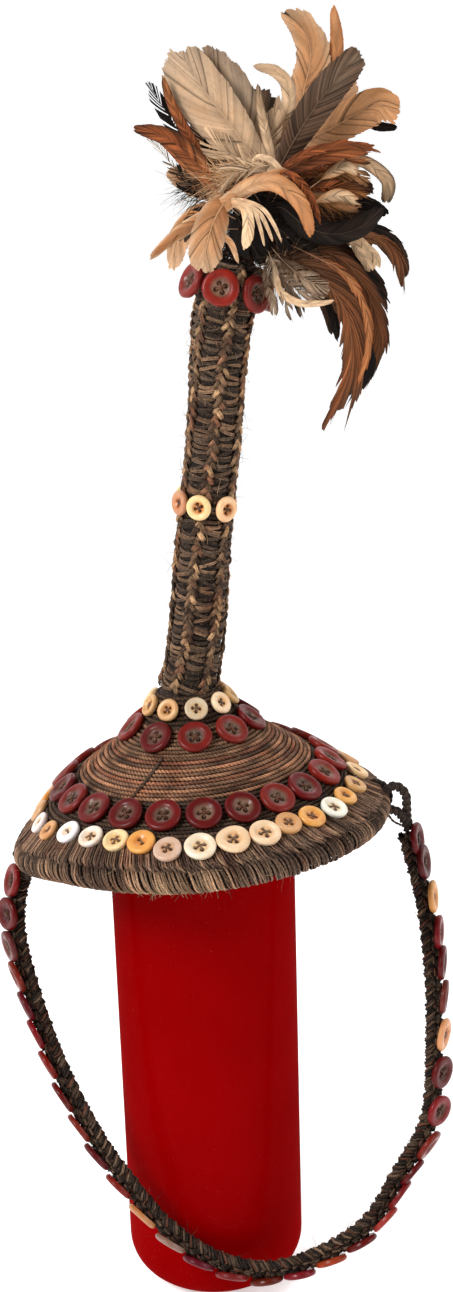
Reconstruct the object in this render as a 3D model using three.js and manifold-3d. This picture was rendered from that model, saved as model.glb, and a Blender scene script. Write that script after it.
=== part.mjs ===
// A cone-shaped hat of coiled fibre with sewn-on buttons, a tall knotted stem with a tuft of feathers, and a
// plaited chin strap, on a plain round display stand. Millimetres, +Z up, +X to the wearer's left, -Y to the
// front. The origin is the middle of the stand's flat foot.
import * as THREE from 'three';
import { mergeVertices } from 'three/addons/utils/BufferGeometryUtils.js';
import Module from 'manifold-3d';

const wasm = await Module();
wasm.setup();

// Driving dimensions
const gap = 0.3; // between touching pieces
const stand = {
  topRadius: 59.5, footRadius: 58, height: 360.6, footRound: 27, topRound: 5, roundSteps: 3, sides: 28,
};
const hat = { centreHeight: 322, tilt: 3.3, sides: 24 }; // the brim's middle, and its right side is up
const roll = { ringRadius: 111.4, radius: 8, sides: 10, hemTurns: [100, 80, 60] };
const coil = { count: 6, outer: 73.5, inner: 47, relief: 0.9 };
const redButton = { brim: 22.4, crown: 21.6, stem: 22.4, thickness: 3.4, dish: 1.4, sides: 9, seat: 1.8 };
const boneButton = { foot: 14.6, waist: 15.6, strap: 19, thickness: 3, dish: 0.6, sides: 7 };
const sewnCord = { radius: 1.2, sides: 3, lift: 0.24, ringLift: 0.48 };
const seatSpan = 2.4; // a button takes the cap's slope over 2 / 2.4 of its width
const stem = {
  radius: 16, footRadius: 17.6, topRadius: 17.8, flare: 14, headFrom: 0.75,
  lobes: 6, relief: 1, turn: 50, rows: 11,
};
const strap = { radius: 5, sides: 5, stretches: 8, buttonsEach: 4, buttonSink: 1, steps: 6 };
const tie = { leftRadius: 2.2, rightRadius: 3.6, sides: 6, steps: 8 };
const feather = { thickness: 2.2, steps: 4, rootShare: 0.25 };

// The cap's outer and inner surface: radius from its axis and height over the brim's middle
const outerLine = [
  { r: 99.8, h: 16.6 },
  { r: 83, h: 28.3 },
  { r: coil.outer, h: 35.2 },
  { r: coil.inner, h: 54 },
  { r: 35.4, h: 61.7 },
  { r: 29.5, h: 66.8 },
  { r: 23.2, h: 76.5 },
  { r: 18.6, h: 84.5 },
];
const innerLine = [
  { r: 0, h: 66 },
  { r: 20, h: 62.5 },
  { r: 33, h: 56.5 },
  { r: 45, h: 49.4 },
  { r: 80.7, h: 23.6 },
  { r: 97.5, h: 11.8 },
];
// How far the brim waves up or down, every 45 degrees from the right side round the back
const brimWave = [0, -1, -2, -5, -12, 1.5, 2, 2];
const waveReach = { from: 84, to: 108.5 }; // radii between which the wave grows to its full height
const waveStep = 360 / brimWave.length;
const waveGrowth = 1.5;
const slopeStep = 4; // degrees each way over which the cap's slope round its axis is taken

// Buttons: angle round the cap, 0 on the right and -90 in front
const brimAngles = [-170, -153.5, -136.5, -119.5, -103, -86.5, -70.5, -54.5, -38.5, -20, -2.5,
  14.8, 32.1, 49.4, 66.7, 84, 101.3, 118.6, 135.9, 153.2, 171.3];
const crownAngles = [-171, -124, -86, -48.5, -11, 28, 68, 109, 149];
const brimRadius = 83;
const crownRadius = 36;
const boneRadius = 99.8;
const bones = [
  { angle: -179, size: 16, out: 0 },
  { angle: -165, size: 14.5, out: 1 },
  { angle: -152.5, size: 14.5, out: 2 },
  { angle: -140.5, size: 16.3, out: 0 },
  { angle: -129, size: 16, out: 0 },
  { angle: -118.5, size: 16.3, out: 0 },
  { angle: -109, size: 17.6, out: 0 },
  { angle: -99.5, size: 17.3, out: 5 },
  { angle: -89, size: 19.5, out: 4 },
  { angle: -78, size: 20.6, out: 2 },
  { angle: -67, size: 19.2, out: 2 },
  { angle: -57.5, size: 16.4, out: 0 },
  { angle: -47.5, size: 17.2, out: 1 },
  { angle: -36.5, size: 17.2, out: 2 },
  { angle: -26, size: 15.2, out: 0 },
  { angle: -14, size: 15, out: 0 },
  { angle: 2, size: 16.5, out: 0 },
  { angle: 16, size: 16.5, out: 0 },
];
const backBones = { count: 15, size: 16.3, from: 27, step: 10.2 };
const boneRowStarts = [0, 4, 14, 23]; // index of each sewn row's first button
const footRing = { count: 9, radius: 23.4, first: -120 };
const waistRing = { height: 524, angles: [-150, -105, -52, 52, 96, 140] };
const topRing = { height: 654, reach: 22.8, lift: 14, angles: [-154, -100, -46, 10, 68, 132] };

// The stem's middle line, leaning to the right
const stemLine = [
  { x: 0.6, z: 433 },
  { x: 8.5, z: 505 },
  { x: 17, z: 568.6 },
  { x: 21.5, z: 617 },
  { x: 26.5, z: 648 },
  { x: 31, z: 668 },
];

// The chin strap's middle line, from the left end of the brim round the front of the stand to the right end
const strapRoute = [
  [-114, -2, 290.4], [-119.5, -12, 270], [-119, -20, 247], [-106, -33, 198], [-92, -43, 161], [-73, -52, 123],
  [-54, -60, 96], [-31, -67, 68], [1, -71, 45], [34, -72, 37], [68, -70, 46], [99, -66, 65], [119, -60, 95],
  [139, -51, 128], [144, -40, 172], [145, -28, 218], [141, -13, 263], [131, -2, 305],
];
const loopMiddle = new THREE.Vector3(14, -30, 200); // the strap's buttons face away from it
// How far the strap's buttons turn from straight out towards the front, at shares of its length
const strapTurns = [
  { at: 0, turn: 50 },
  { at: 0.12, turn: 20 },
  { at: 0.3, turn: 5 },
  { at: 0.62, turn: 10 },
  { at: 0.78, turn: 60 },
  { at: 0.86, turn: 15 },
  { at: 1, turn: 5 },
];
// The left tie goes under the roll, and the right tie rises from the roll's top over to the strap's end
const leftTieTurns = [-165, -140, -115, -90, -65, -40, -15];
const rightTieStart = 50;
const rightTieLoop = [[124.5, 0, 341], [131, 0, 339.5], [132.5, 0, 329]];
const rightTieLead = 10;

// The tuft. width is the widest place, at the share wide of the length, blunt is the tip's share of the
// width, and turn swings the blade round its shaft, in degrees.
const tuft = {
  x: 46, y: -2, z: 687, halfWidth: 30, halfDepth: 21, halfHeight: 21, sides: 10, rings: 6,
  neckRadius: 14, neckHeight: 14,
};
const stemRoom = { radius: 29, height: 60, sides: 18 }; // clear of feathers, for the stem's end and buttons
const feathers = [
  { width: 37, wide: 0.75, blunt: 0.6, turn: 0,
    path: [[50, 0, 724], [38, -5, 744], [24, -2, 767], [15, 3, 780]] },
  { width: 32, wide: 0.75, blunt: 0.5, turn: 0,
    path: [[51, 8, 724], [44, 12, 746], [32, 14, 769], [23, 16, 786]] },
  { width: 18, wide: 0.7, blunt: 0.5, turn: 0,
    path: [[60, -8, 720], [75, -14, 743], [93, -18, 765], [109, -22, 789]] },
  { width: 23, wide: 0.6, blunt: 0.1, turn: 0,
    path: [[56, 8, 723], [68, 14, 754], [79, 20, 782], [81, 20, 799], [66, 16, 811]] },
  { width: 8, wide: 0.6, blunt: 0.1, turn: 0,
    path: [[61, 16, 723], [80, 24, 754], [92, 28, 780], [99, 28, 798], [95, 26, 812]] },
  { width: 24, wide: 0.85, blunt: 0.6, turn: 0,
    path: [[64, 2, 721], [84, 0, 739], [105, -6, 750], [126, -12, 755]] },
  { width: 9, wide: 0.4, blunt: 0.1, turn: 0,
    path: [[60, -8, 716], [89, -13, 725], [115, -18, 730]] },
  { width: 26, wide: 0.6, blunt: 0.5, turn: 20,
    path: [[64, 8, 708], [91, 14, 712], [112, 18, 714]] },
  { width: 17, wide: 0.8, blunt: 0.5, turn: 0,
    path: [[73, 18, 711], [100, 22, 718], [122, 23, 713], [124, 23, 700]] },
  { width: 19, wide: 0.5, blunt: 0.3, turn: 20,
    path: [[53, -14, 695], [77, -22, 690], [97, -27, 692], [116, -30, 698]] },
  { width: 15, wide: 0.5, blunt: 0.1, turn: 0,
    path: [[72, 8, 682], [104, 14, 681], [122, 18, 681], [132, 20, 668], [135, 20, 647]] },
  { width: 30, wide: 0.6, blunt: 0.1, turn: 0,
    path: [[55, -12, 678], [82, -20, 674], [102, -26, 658], [112, -28, 635], [107, -27, 608],
      [88, -24, 577]] },
  { width: 28, wide: 0.55, blunt: 0.1, turn: 0,
    path: [[55, 6, 676], [89, 4, 667], [108, 2, 643], [112, 0, 617], [103, -4, 590], [90, -8, 579]] },
  { width: 22, wide: 0.6, blunt: 0.4, turn: 0,
    path: [[56, -14, 674], [66, -26, 662], [74, -28, 649], [79, -26, 634]] },
  { width: 9, wide: 0.6, blunt: 0.1, turn: 0,
    path: [[37, -4, 706], [21, -4, 719], [6, -2, 750], [-7, 0, 778]] },
  { width: 10, wide: 0.7, blunt: 0.4, turn: 0,
    path: [[34, 6, 706], [14, 10, 733], [-5, 12, 756], [-16, 14, 773]] },
  { width: 14, wide: 0.5, blunt: 0.1, turn: 0,
    path: [[37, -2, 704], [17, -6, 717], [-6, -10, 734], [-22, -12, 746]] },
  { width: 28, wide: 0.7, blunt: 0.6, turn: 0,
    path: [[44, -10, 706], [23, -16, 722], [3, -20, 735], [-9, -21, 741]] },
  { width: 18, wide: 0.5, blunt: 0.15, turn: 0,
    path: [[58, -16, 715], [36, -34, 710], [10, -42, 696], [-4, -40, 686], [-16, -36, 675]] },
  { width: 20, wide: 0.5, blunt: 0.2, turn: 0,
    path: [[52, -18, 708], [68, -32, 707], [76, -37, 696], [77, -37, 684]] },
  { width: 21, wide: 0.6, blunt: 0.4, turn: 0,
    path: [[36, -16, 698], [22, -36, 695], [16, -42, 680], [12, -40, 665]] },
  { width: 14, wide: 0.5, blunt: 0.2, turn: 0,
    path: [[46, -16, 698], [50, -32, 700], [52, -40, 691], [52, -38, 679]] },
  { width: 26, wide: 0.7, blunt: 0.5, turn: 30,
    path: [[44, 14, 700], [30, 32, 722], [18, 44, 744]] },
  { width: 24, wide: 0.7, blunt: 0.5, turn: -30,
    path: [[56, 14, 700], [72, 36, 720], [84, 48, 738]] },
  { width: 20, wide: 0.6, blunt: 0.2, turn: 0,
    path: [[46, 14, 690], [44, 40, 690], [40, 52, 670], [38, 54, 650]] },
  { width: 22, wide: 0.6, blunt: 0.2, turn: -20,
    path: [[58, 12, 686], [82, 34, 682], [96, 42, 660], [98, 42, 634]] },
  { width: 20, wide: 0.6, blunt: 0.3, turn: 40,
    path: [[34, 10, 690], [14, 28, 696], [0, 34, 684], [-6, 34, 668]] },
];

const paint = (color, roughness) => new THREE.MeshStandardMaterial({ color, roughness, metalness: 0 });
const fibre = paint(0x5a4636, 0.9);
const strapFibre = paint(0x3a2c22, 0.9);
const redHorn = paint(0x7a1f1c, 0.35);
const bone = paint(0xe3cfa8, 0.45);
const plumage = paint(0xa8774a, 0.8);
const redLacquer = paint(0x8c0404, 0.3);

const radians = THREE.MathUtils.degToRad;

// One closed mesh whose faces share their corners and have an area
function closed(geometry) {
  const bare = geometry.clone();
  bare.deleteAttribute('normal');
  bare.deleteAttribute('uv');
  const merged = mergeVertices(bare, 1e-4);
  const corners = merged.index.array;
  const kept = [];
  for (let i = 0; i < corners.length; i += 3) {
    const [a, b, c] = corners.slice(i, i + 3);
    if (a !== b && b !== c && c !== a) kept.push(a, b, c);
  }
  merged.setIndex(kept);
  return merged;
}

function toSolid(geometry) {
  const merged = closed(geometry);
  return new wasm.Manifold(new wasm.Mesh({
    numProp: 3,
    vertProperties: new Float32Array(merged.attributes.position.array),
    triVerts: new Uint32Array(merged.index.array),
  }));
}

function toGeometry(solid) {
  const mesh = solid.getMesh();
  const geometry = new THREE.BufferGeometry();
  geometry.setAttribute('position', new THREE.BufferAttribute(mesh.vertProperties, 3));
  geometry.setIndex(new THREE.BufferAttribute(mesh.triVerts, 1));
  return geometry;
}

const fuse = (geometries) => toGeometry(geometries.map(toSolid).reduce((all, next) => all.add(next)));

function piece(name, geometry, material) {
  const mesh = new THREE.Mesh(closed(geometry), material);
  mesh.name = name;
  return mesh;
}

// A lathe whose profile runs in radius and height, turned so that its axis is Z
function turned(profile, sides) {
  const points = profile.map(({ r, h }) => new THREE.Vector2(r, h));
  return new THREE.LatheGeometry(points, sides).rotateX(Math.PI / 2);
}

// A skin through rings of the same number of points, closed at both ends
function loft(rings) {
  const around = rings[0].length;
  const corners = [];
  for (let row = 0; row + 1 < rings.length; row += 1) {
    for (let k = 0; k < around; k += 1) {
      const a = row * around + k;
      const b = row * around + ((k + 1) % around);
      corners.push(a, b, b + around, a, b + around, a + around);
    }
  }
  const last = (rings.length - 1) * around;
  for (let k = 1; k + 1 < around; k += 1) {
    corners.push(0, k + 1, k, last, last + k, last + k + 1);
  }
  const geometry = new THREE.BufferGeometry().setFromPoints(rings.flat());
  geometry.setIndex(corners);
  return geometry;
}

function tube(curve, radius, sides, steps) {
  const section = Array.from({ length: sides }, (_, k) => {
    const turn = (2 * Math.PI * k) / sides;
    return new THREE.Vector2(radius * Math.cos(turn), radius * Math.sin(turn));
  });
  const shape = new THREE.Shape(section);
  return new THREE.ExtrudeGeometry(shape, { steps, bevelEnabled: false, extrudePath: curve });
}

// The cap's surface

function lineHeight(line, r) {
  const next = Math.max(1, line.findIndex((point) => (point.r - r) * (line[0].r - r) <= 0));
  const [a, b] = [line[next - 1], line[next]];
  return a.h + ((r - a.r) * (b.h - a.h)) / (b.r - a.r);
}

function brimRise(angle, r) {
  const count = brimWave.length;
  const place = (((angle / waveStep) % count) + count) % count;
  const k = Math.floor(place);
  const [before, from, to, after] = [-1, 0, 1, 2].map((step) => brimWave[(k + step + count) % count]);
  const t = place - k;
  const slopeFrom = (to - before) / 2;
  const slopeTo = (after - from) / 2;
  const rise = from + t * (slopeFrom + t * (3 * (to - from) - 2 * slopeFrom - slopeTo
    + t * (2 * (from - to) + slopeFrom + slopeTo)));
  const share = (r - waveReach.from) / (waveReach.to - waveReach.from);
  return rise * Math.min(1, Math.max(0, share)) ** waveGrowth;
}

// The cap's lower edge, from its inner to its outer corner, fitted round the roll
function hem() {
  const reach = roll.radius + gap;
  return roll.hemTurns.map((turn) => (
    { r: roll.ringRadius + reach * Math.cos(radians(turn)), h: reach * Math.sin(radians(turn)) }));
}

function capPoint(angle, r) {
  const turn = radians(angle);
  const line = [...hem().slice(2), ...outerLine];
  const height = lineHeight(line, Math.max(r, line.at(-1).r)) + brimRise(angle, r);
  return new THREE.Vector3(r * Math.cos(turn), r * Math.sin(turn), height);
}

function capNormal(angle, r, reach) {
  const radial = capPoint(angle, r + reach).sub(capPoint(angle, r - reach));
  const round = capPoint(angle + slopeStep, r).sub(capPoint(angle - slopeStep, r));
  return radial.cross(round).normalize();
}

// Waves a geometry as the cap waves at each of its points, or all of it as the cap waves at one radius
function waved(geometry, radius) {
  const places = geometry.attributes.position;
  for (let i = 0; i < places.count; i += 1) {
    const [x, y] = [places.getX(i), places.getY(i)];
    const angle = THREE.MathUtils.radToDeg(Math.atan2(y, x));
    places.setZ(i, places.getZ(i) + brimRise(angle, radius ?? Math.hypot(x, y)));
  }
  return geometry;
}

function capGeometry() {
  const coils = [];
  const pitch = (coil.outer - coil.inner) / coil.count;
  for (let k = 0; k < coil.count; k += 1) {
    const groove = coil.outer - k * pitch;
    const crest = groove - pitch / 2;
    coils.push({ r: groove, h: lineHeight(outerLine, groove) });
    coils.push({ r: crest, h: lineHeight(outerLine, crest) + coil.relief });
  }
  const top = outerLine.at(-1);
  const profile = [...innerLine, ...hem(), ...outerLine.slice(0, 2), ...coils, ...outerLine.slice(3),
    { r: 0, h: top.h }];
  return waved(turned(profile, hat.sides));
}

// Buttons and rows

function buttonGeometry(kind, diameter) {
  const { thickness, dish, sides } = kind;
  return turned([
    { r: 0, h: 0 },
    { r: diameter / 2, h: 0 },
    { r: diameter / 2, h: thickness },
    { r: 0, h: thickness - dish },
  ], sides);
}

function facing(geometry, place, normal) {
  const turn = new THREE.Quaternion().setFromUnitVectors(new THREE.Vector3(0, 0, 1), normal);
  return geometry.applyQuaternion(turn).translate(place.x, place.y, place.z);
}

// The point that is height over the cap, with the cap's slope under a button of that diameter
function overCap(angle, r, diameter, height) {
  const normal = capNormal(angle, r, diameter / seatSpan);
  return { normal, place: capPoint(angle, r).addScaledVector(normal, height) };
}

const allBones = [
  ...bones,
  ...Array.from({ length: backBones.count }, (_, k) => (
    { angle: backBones.from + k * backBones.step, size: backBones.size, out: 0 })),
];

// One sewn row: its buttons on the cord that holds them
function boneRow(row) {
  const parts = row.map(({ angle, size, out }) => {
    const { normal, place } = overCap(angle, boneRadius + out, size, gap + sewnCord.radius);
    return facing(buttonGeometry(boneButton, size), place, normal);
  });
  const cordPoints = row.map(({ angle, size, out }) => (
    overCap(angle, boneRadius + out, size, gap + sewnCord.radius + sewnCord.lift).place));
  const cord = new THREE.CatmullRomCurve3(cordPoints);
  return fuse([tube(cord, sewnCord.radius, sewnCord.sides, row.length), ...parts]);
}

function footRingGeometry() {
  const step = 360 / footRing.count;
  const parts = Array.from({ length: footRing.count }, (_, k) => {
    const angle = footRing.first + k * step;
    const { normal, place } = overCap(angle, footRing.radius, boneButton.foot, gap + sewnCord.radius);
    return facing(buttonGeometry(boneButton, boneButton.foot), place, normal);
  });
  const seat = overCap(0, footRing.radius, boneButton.foot, gap + sewnCord.radius + sewnCord.ringLift).place;
  const cord = new THREE.TorusGeometry(seat.x, sewnCord.radius, sewnCord.sides, footRing.count * 2);
  return fuse([cord.translate(0, 0, seat.z), ...parts]);
}

// The stem

const hatPlace = new THREE.Group();
hatPlace.position.z = hat.centreHeight;
hatPlace.rotation.y = -radians(hat.tilt);
hatPlace.updateMatrixWorld(true);
const fromHat = (x, y, z) => new THREE.Vector3(x, y, z).applyMatrix4(hatPlace.matrixWorld);

const stemBase = fromHat(0, 0, outerLine.at(-1).h + gap);
const stemCurve = new THREE.CatmullRomCurve3(
  [stemBase, ...stemLine.map(({ x, z }) => new THREE.Vector3(x, 0, z))], false, 'centripetal');

// The stem's middle, its direction and the two directions across it, at a share of its length
function stemFrame(share) {
  const along = stemCurve.getTangentAt(share);
  if (share === 0) along.set(0, 0, 1).applyQuaternion(hatPlace.quaternion);
  const right = new THREE.Vector3(along.z, 0, -along.x);
  const back = new THREE.Vector3(0, 1, 0);
  return { middle: stemCurve.getPointAt(share), along, right, back };
}

function stemGeometry() {
  const length = stemCurve.getLength();
  const around = stem.lobes * 2;
  const rings = Array.from({ length: stem.rows }, (_, row) => {
    const share = row / (stem.rows - 1);
    const { middle, right, back } = stemFrame(share);
    const foot = Math.max(0, 1 - (share * length) / stem.flare);
    const head = Math.max(0, (share - stem.headFrom) / (1 - stem.headFrom));
    const wider = (stem.footRadius - stem.radius) * foot + (stem.topRadius - stem.radius) * head;
    return Array.from({ length: around }, (__, k) => {
      const turn = (2 * Math.PI * k) / around;
      const lobe = Math.cos(stem.lobes * (turn - radians(stem.turn * share)));
      const reach = stem.radius + wider + (stem.relief / 2) * (lobe - 1);
      return middle.clone()
        .addScaledVector(right, reach * Math.cos(turn))
        .addScaledVector(back, reach * Math.sin(turn));
    });
  });
  return loft(rings);
}

function stemShare(height) {
  let [low, high] = [0, 1];
  while (high - low > 1e-7) {
    const middle = (low + high) / 2;
    if (stemCurve.getPointAt(middle).z < height) low = middle;
    else high = middle;
  }
  return low;
}

// A place round the stem at a height, at a reach from its middle, with a normal lifted by some degrees
function roundStem(height, angle, reach, lift) {
  const { middle, along, right, back } = stemFrame(stemShare(height));
  const turn = radians(angle);
  const out = right.clone().multiplyScalar(Math.cos(turn)).addScaledVector(back, Math.sin(turn));
  const normal = out.clone().multiplyScalar(Math.cos(radians(lift)));
  normal.addScaledVector(along, Math.sin(radians(lift)));
  return { normal, place: middle.addScaledVector(out, reach) };
}

function waistRingGeometry() {
  const reach = stem.radius + gap + sewnCord.radius;
  const parts = waistRing.angles.map((angle) => {
    const { normal, place } = roundStem(waistRing.height, angle, reach, 0);
    return facing(buttonGeometry(boneButton, boneButton.waist), place, normal);
  });
  const { middle, along } = stemFrame(stemShare(waistRing.height));
  const segments = waistRing.angles.length * 2;
  const cord = new THREE.TorusGeometry(reach + sewnCord.ringLift, sewnCord.radius, sewnCord.sides, segments);
  return fuse([facing(cord, middle, along), ...parts]);
}

// The strap

const strapCurve = new THREE.CatmullRomCurve3(strapRoute.map((point) => new THREE.Vector3(...point)));

function turnAt(share) {
  const next = Math.max(1, strapTurns.findIndex(({ at }) => at >= share));
  const [a, b] = [strapTurns[next - 1], strapTurns[next]];
  return a.turn + ((share - a.at) * (b.turn - a.turn)) / (b.at - a.at);
}

function strapButton(share) {
  const place = strapCurve.getPointAt(share);
  const along = strapCurve.getTangentAt(share);
  const out = place.clone().sub(loopMiddle);
  out.addScaledVector(along, -out.dot(along)).normalize();
  const front = new THREE.Vector3(0, -1, 0);
  front.addScaledVector(along, -front.dot(along)).addScaledVector(out, -front.dot(out)).normalize();
  const turn = radians(turnAt(share));
  const normal = out.multiplyScalar(Math.cos(turn)).addScaledVector(front, Math.sin(turn));
  place.addScaledVector(normal, strap.radius - strap.buttonSink);
  return facing(buttonGeometry(boneButton, boneButton.strap), place, normal);
}

// The stretch of the strap's middle line between two shares of its length
class Stretch extends THREE.Curve {
  constructor(from, to) {
    super();
    Object.assign(this, { from, to });
  }

  getPoint(t) {
    return strapCurve.getPointAt(this.from + t * (this.to - this.from));
  }
}

function strapStretch(k) {
  const trim = gap / 2 / strapCurve.getLength();
  const stretch = new Stretch(k / strap.stretches + trim, (k + 1) / strap.stretches - trim);
  const cord = tube(stretch, strap.radius, strap.sides, strap.steps);
  const parts = Array.from({ length: strap.buttonsEach }, (_, i) => (
    strapButton((k + (i + 0.5) / strap.buttonsEach) / strap.stretches)));
  return fuse([cord, ...parts]);
}

// Where a cord touches the brim's roll, on its left or right end, at some degrees up from straight out
function onRoll(side, turn, radius) {
  const reach = roll.radius + gap + radius;
  const ring = roll.ringRadius + reach * Math.cos(radians(turn));
  const rise = brimRise(side > 0 ? 0 : 180, roll.ringRadius);
  return fromHat(side * ring, 0, rise + reach * Math.sin(radians(turn)));
}

function leftTie() {
  const points = leftTieTurns.map((turn) => onRoll(-1, turn, tie.leftRadius));
  return tube(new THREE.CatmullRomCurve3(points), tie.leftRadius, tie.sides, tie.steps);
}

function rightTie() {
  const [end, along] = [strapCurve.getPointAt(1), strapCurve.getTangentAt(1)];
  const points = [
    onRoll(1, rightTieStart, tie.rightRadius),
    ...rightTieLoop.map((point) => new THREE.Vector3(...point)),
    end.clone().addScaledVector(along, rightTieLead),
    end.clone().addScaledVector(along, 2 * gap),
  ];
  return tube(new THREE.CatmullRomCurve3(points), tie.rightRadius, tie.sides, tie.steps);
}

// The tuft

function blade({ width, wide, blunt, turn, path }) {
  const root = new THREE.Vector3(tuft.x, tuft.y, tuft.z);
  const curve = new THREE.CatmullRomCurve3([root, ...path.map((point) => new THREE.Vector3(...point))],
    false, 'centripetal');
  const rings = Array.from({ length: feather.steps + 1 }, (_, row) => {
    const share = row / feather.steps;
    const along = curve.getTangentAt(share);
    const across = along.clone().cross(new THREE.Vector3(0, -1, 0)).normalize();
    across.applyAxisAngle(along, radians(turn));
    const thin = along.clone().cross(across);
    const { rootShare } = feather;
    const rising = rootShare + (1 - rootShare) * Math.sin((Math.PI / 2) * Math.min(1, share / wide));
    const past = Math.max(0, (share - wide) / (1 - wide));
    const falling = blunt + (1 - blunt) * Math.sqrt(Math.max(0, 1 - past ** 2));
    const half = (width / 2) * Math.min(rising, falling);
    const middle = curve.getPointAt(share);
    return [[half, 0], [0, feather.thickness / 2], [-half, 0], [0, -feather.thickness / 2]].map(([a, b]) => (
      middle.clone().addScaledVector(across, a).addScaledVector(thin, b)));
  });
  return loft(rings);
}

function plumeGeometry() {
  const { middle, along } = stemFrame(1);
  const core = new THREE.SphereGeometry(1, tuft.sides, tuft.rings);
  core.scale(tuft.halfWidth, tuft.halfDepth, tuft.halfHeight).translate(tuft.x, tuft.y, tuft.z);
  const neck = new THREE.CylinderGeometry(tuft.neckRadius, tuft.neckRadius, tuft.neckHeight, tuft.sides);
  facing(neck.rotateX(Math.PI / 2), middle.clone().addScaledVector(along, gap + tuft.neckHeight / 2), along);
  const whole = [core, neck, ...feathers.map(blade)].map(toSolid).reduce((all, next) => all.add(next));
  const clear = new THREE.CylinderGeometry(stemRoom.radius, stemRoom.radius, stemRoom.height, stemRoom.sides);
  facing(clear.rotateX(Math.PI / 2), middle.clone().addScaledVector(along, gap - stemRoom.height / 2), along);
  return toGeometry(whole.subtract(toSolid(clear)));
}

// Assembly

const number = (k) => String(k + 1).padStart(2, '0');
const headdress = new THREE.Group();

function standGeometry() {
  const arc = (middleR, middleH, radius, from) => Array.from({ length: stand.roundSteps + 1 }, (_, k) => {
    const turn = radians(from + (k * 90) / stand.roundSteps);
    return { r: middleR + radius * Math.cos(turn), h: middleH + radius * Math.sin(turn) };
  });
  const { topRadius, footRadius, height, footRound, topRound, sides } = stand;
  return turned([
    { r: 0, h: 0 },
    ...arc(footRadius - footRound, footRound, footRound, -90),
    ...arc(topRadius - topRound, height - topRound, topRound, 0),
    { r: 0, h: height },
  ], sides);
}

headdress.add(piece('stand', standGeometry(), redLacquer));

hatPlace.add(piece('cap', capGeometry(), fibre));
const rollRing = new THREE.TorusGeometry(roll.ringRadius, roll.radius, roll.sides, hat.sides);
hatPlace.add(piece('brim_roll', waved(rollRing, roll.ringRadius), fibre));
brimAngles.forEach((angle, k) => {
  const { normal, place } = overCap(angle, brimRadius, redButton.brim, redButton.seat);
  const button = facing(buttonGeometry(redButton, redButton.brim), place, normal);
  hatPlace.add(piece(`brim_button_${number(k)}`, button, redHorn));
});
crownAngles.forEach((angle, k) => {
  const { normal, place } = overCap(angle, crownRadius, redButton.crown, redButton.seat);
  const button = facing(buttonGeometry(redButton, redButton.crown), place, normal);
  hatPlace.add(piece(`crown_button_${number(k)}`, button, redHorn));
});
boneRowStarts.forEach((start, k) => {
  const row = allBones.slice(start, boneRowStarts[k + 1]);
  hatPlace.add(piece(`bone_row_${k + 1}`, boneRow(row), bone));
});
hatPlace.add(piece('stem_foot_ring', footRingGeometry(), bone));
headdress.add(hatPlace);

headdress.add(piece('stem', stemGeometry(), fibre));
headdress.add(piece('stem_waist_ring', waistRingGeometry(), bone));
topRing.angles.forEach((angle, k) => {
  const { normal, place } = roundStem(topRing.height, angle, topRing.reach, topRing.lift);
  const button = facing(buttonGeometry(redButton, redButton.stem), place, normal);
  headdress.add(piece(`stem_button_${number(k)}`, button, redHorn));
});
headdress.add(piece('plume', plumeGeometry(), plumage));

for (let k = 0; k < strap.stretches; k += 1) {
  headdress.add(piece(`strap_${number(k)}`, strapStretch(k), strapFibre));
}
headdress.add(piece('strap_tie_left', leftTie(), strapFibre));
headdress.add(piece('strap_tie_right', rightTie(), strapFibre));

export default headdress;
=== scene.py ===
import math

import bpy
import numpy as np
from mathutils import Matrix


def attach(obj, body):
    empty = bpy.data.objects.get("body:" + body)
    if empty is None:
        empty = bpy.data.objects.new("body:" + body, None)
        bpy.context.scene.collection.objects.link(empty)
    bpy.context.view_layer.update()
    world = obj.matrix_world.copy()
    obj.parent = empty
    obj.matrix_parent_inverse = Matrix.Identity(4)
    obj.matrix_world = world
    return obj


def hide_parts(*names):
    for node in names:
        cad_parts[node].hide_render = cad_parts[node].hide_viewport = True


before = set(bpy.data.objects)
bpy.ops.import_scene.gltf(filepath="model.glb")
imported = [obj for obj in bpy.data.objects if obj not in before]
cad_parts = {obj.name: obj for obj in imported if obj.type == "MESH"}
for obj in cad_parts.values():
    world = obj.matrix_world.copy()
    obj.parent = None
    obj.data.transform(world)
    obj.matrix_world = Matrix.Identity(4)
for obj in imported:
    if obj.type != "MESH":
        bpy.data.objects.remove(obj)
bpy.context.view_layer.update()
mm = 0.001
tiny = 1e-9
print("stage: frame loaded")


# camera

cameraLook = {"place": (20, -1170.84, 749.76), "pitch": 15.149, "roll": 1.9, "lens": 54.14, "sensor": 36}


def makeCamera(look):
    data = bpy.data.cameras.new("camera")
    data.lens = look["lens"]
    data.sensor_width = look["sensor"]
    data.clip_start = 0.01
    data.clip_end = 50
    camera = bpy.data.objects.new("camera", data)
    bpy.context.scene.collection.objects.link(camera)
    upright = Matrix.Rotation(math.radians(90 - look["pitch"]), 4, "X")
    lean = Matrix.Rotation(math.radians(-look["roll"]), 4, "Z")
    place = [value * mm for value in look["place"]]
    camera.matrix_world = Matrix.Translation(place) @ upright @ lean
    bpy.context.scene.camera = camera


makeCamera(cameraLook)


# numbers and lines


def unit(vectors):
    return vectors / np.maximum(np.linalg.norm(vectors, axis=-1, keepdims=True), tiny)


def linear(colour):
    # a colour written as 0 to 255 values, as the shaders take it
    share = np.asarray(colour, float) / 255
    return np.where(share <= 0.04045, share / 12.92, ((share + 0.055) / 1.055) ** 2.4)


def blend(a, b, share):
    share = np.asarray(share, float)[..., None]
    return np.asarray(a) * (1 - share) + np.asarray(b) * share


def smooth(share):
    share = np.clip(share, 0, 1)
    return share * share * (3 - 2 * share)


def measured(points):
    steps = np.linalg.norm(np.diff(points, axis=0), axis=1)
    return np.concatenate([[0], np.cumsum(steps)])


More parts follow.
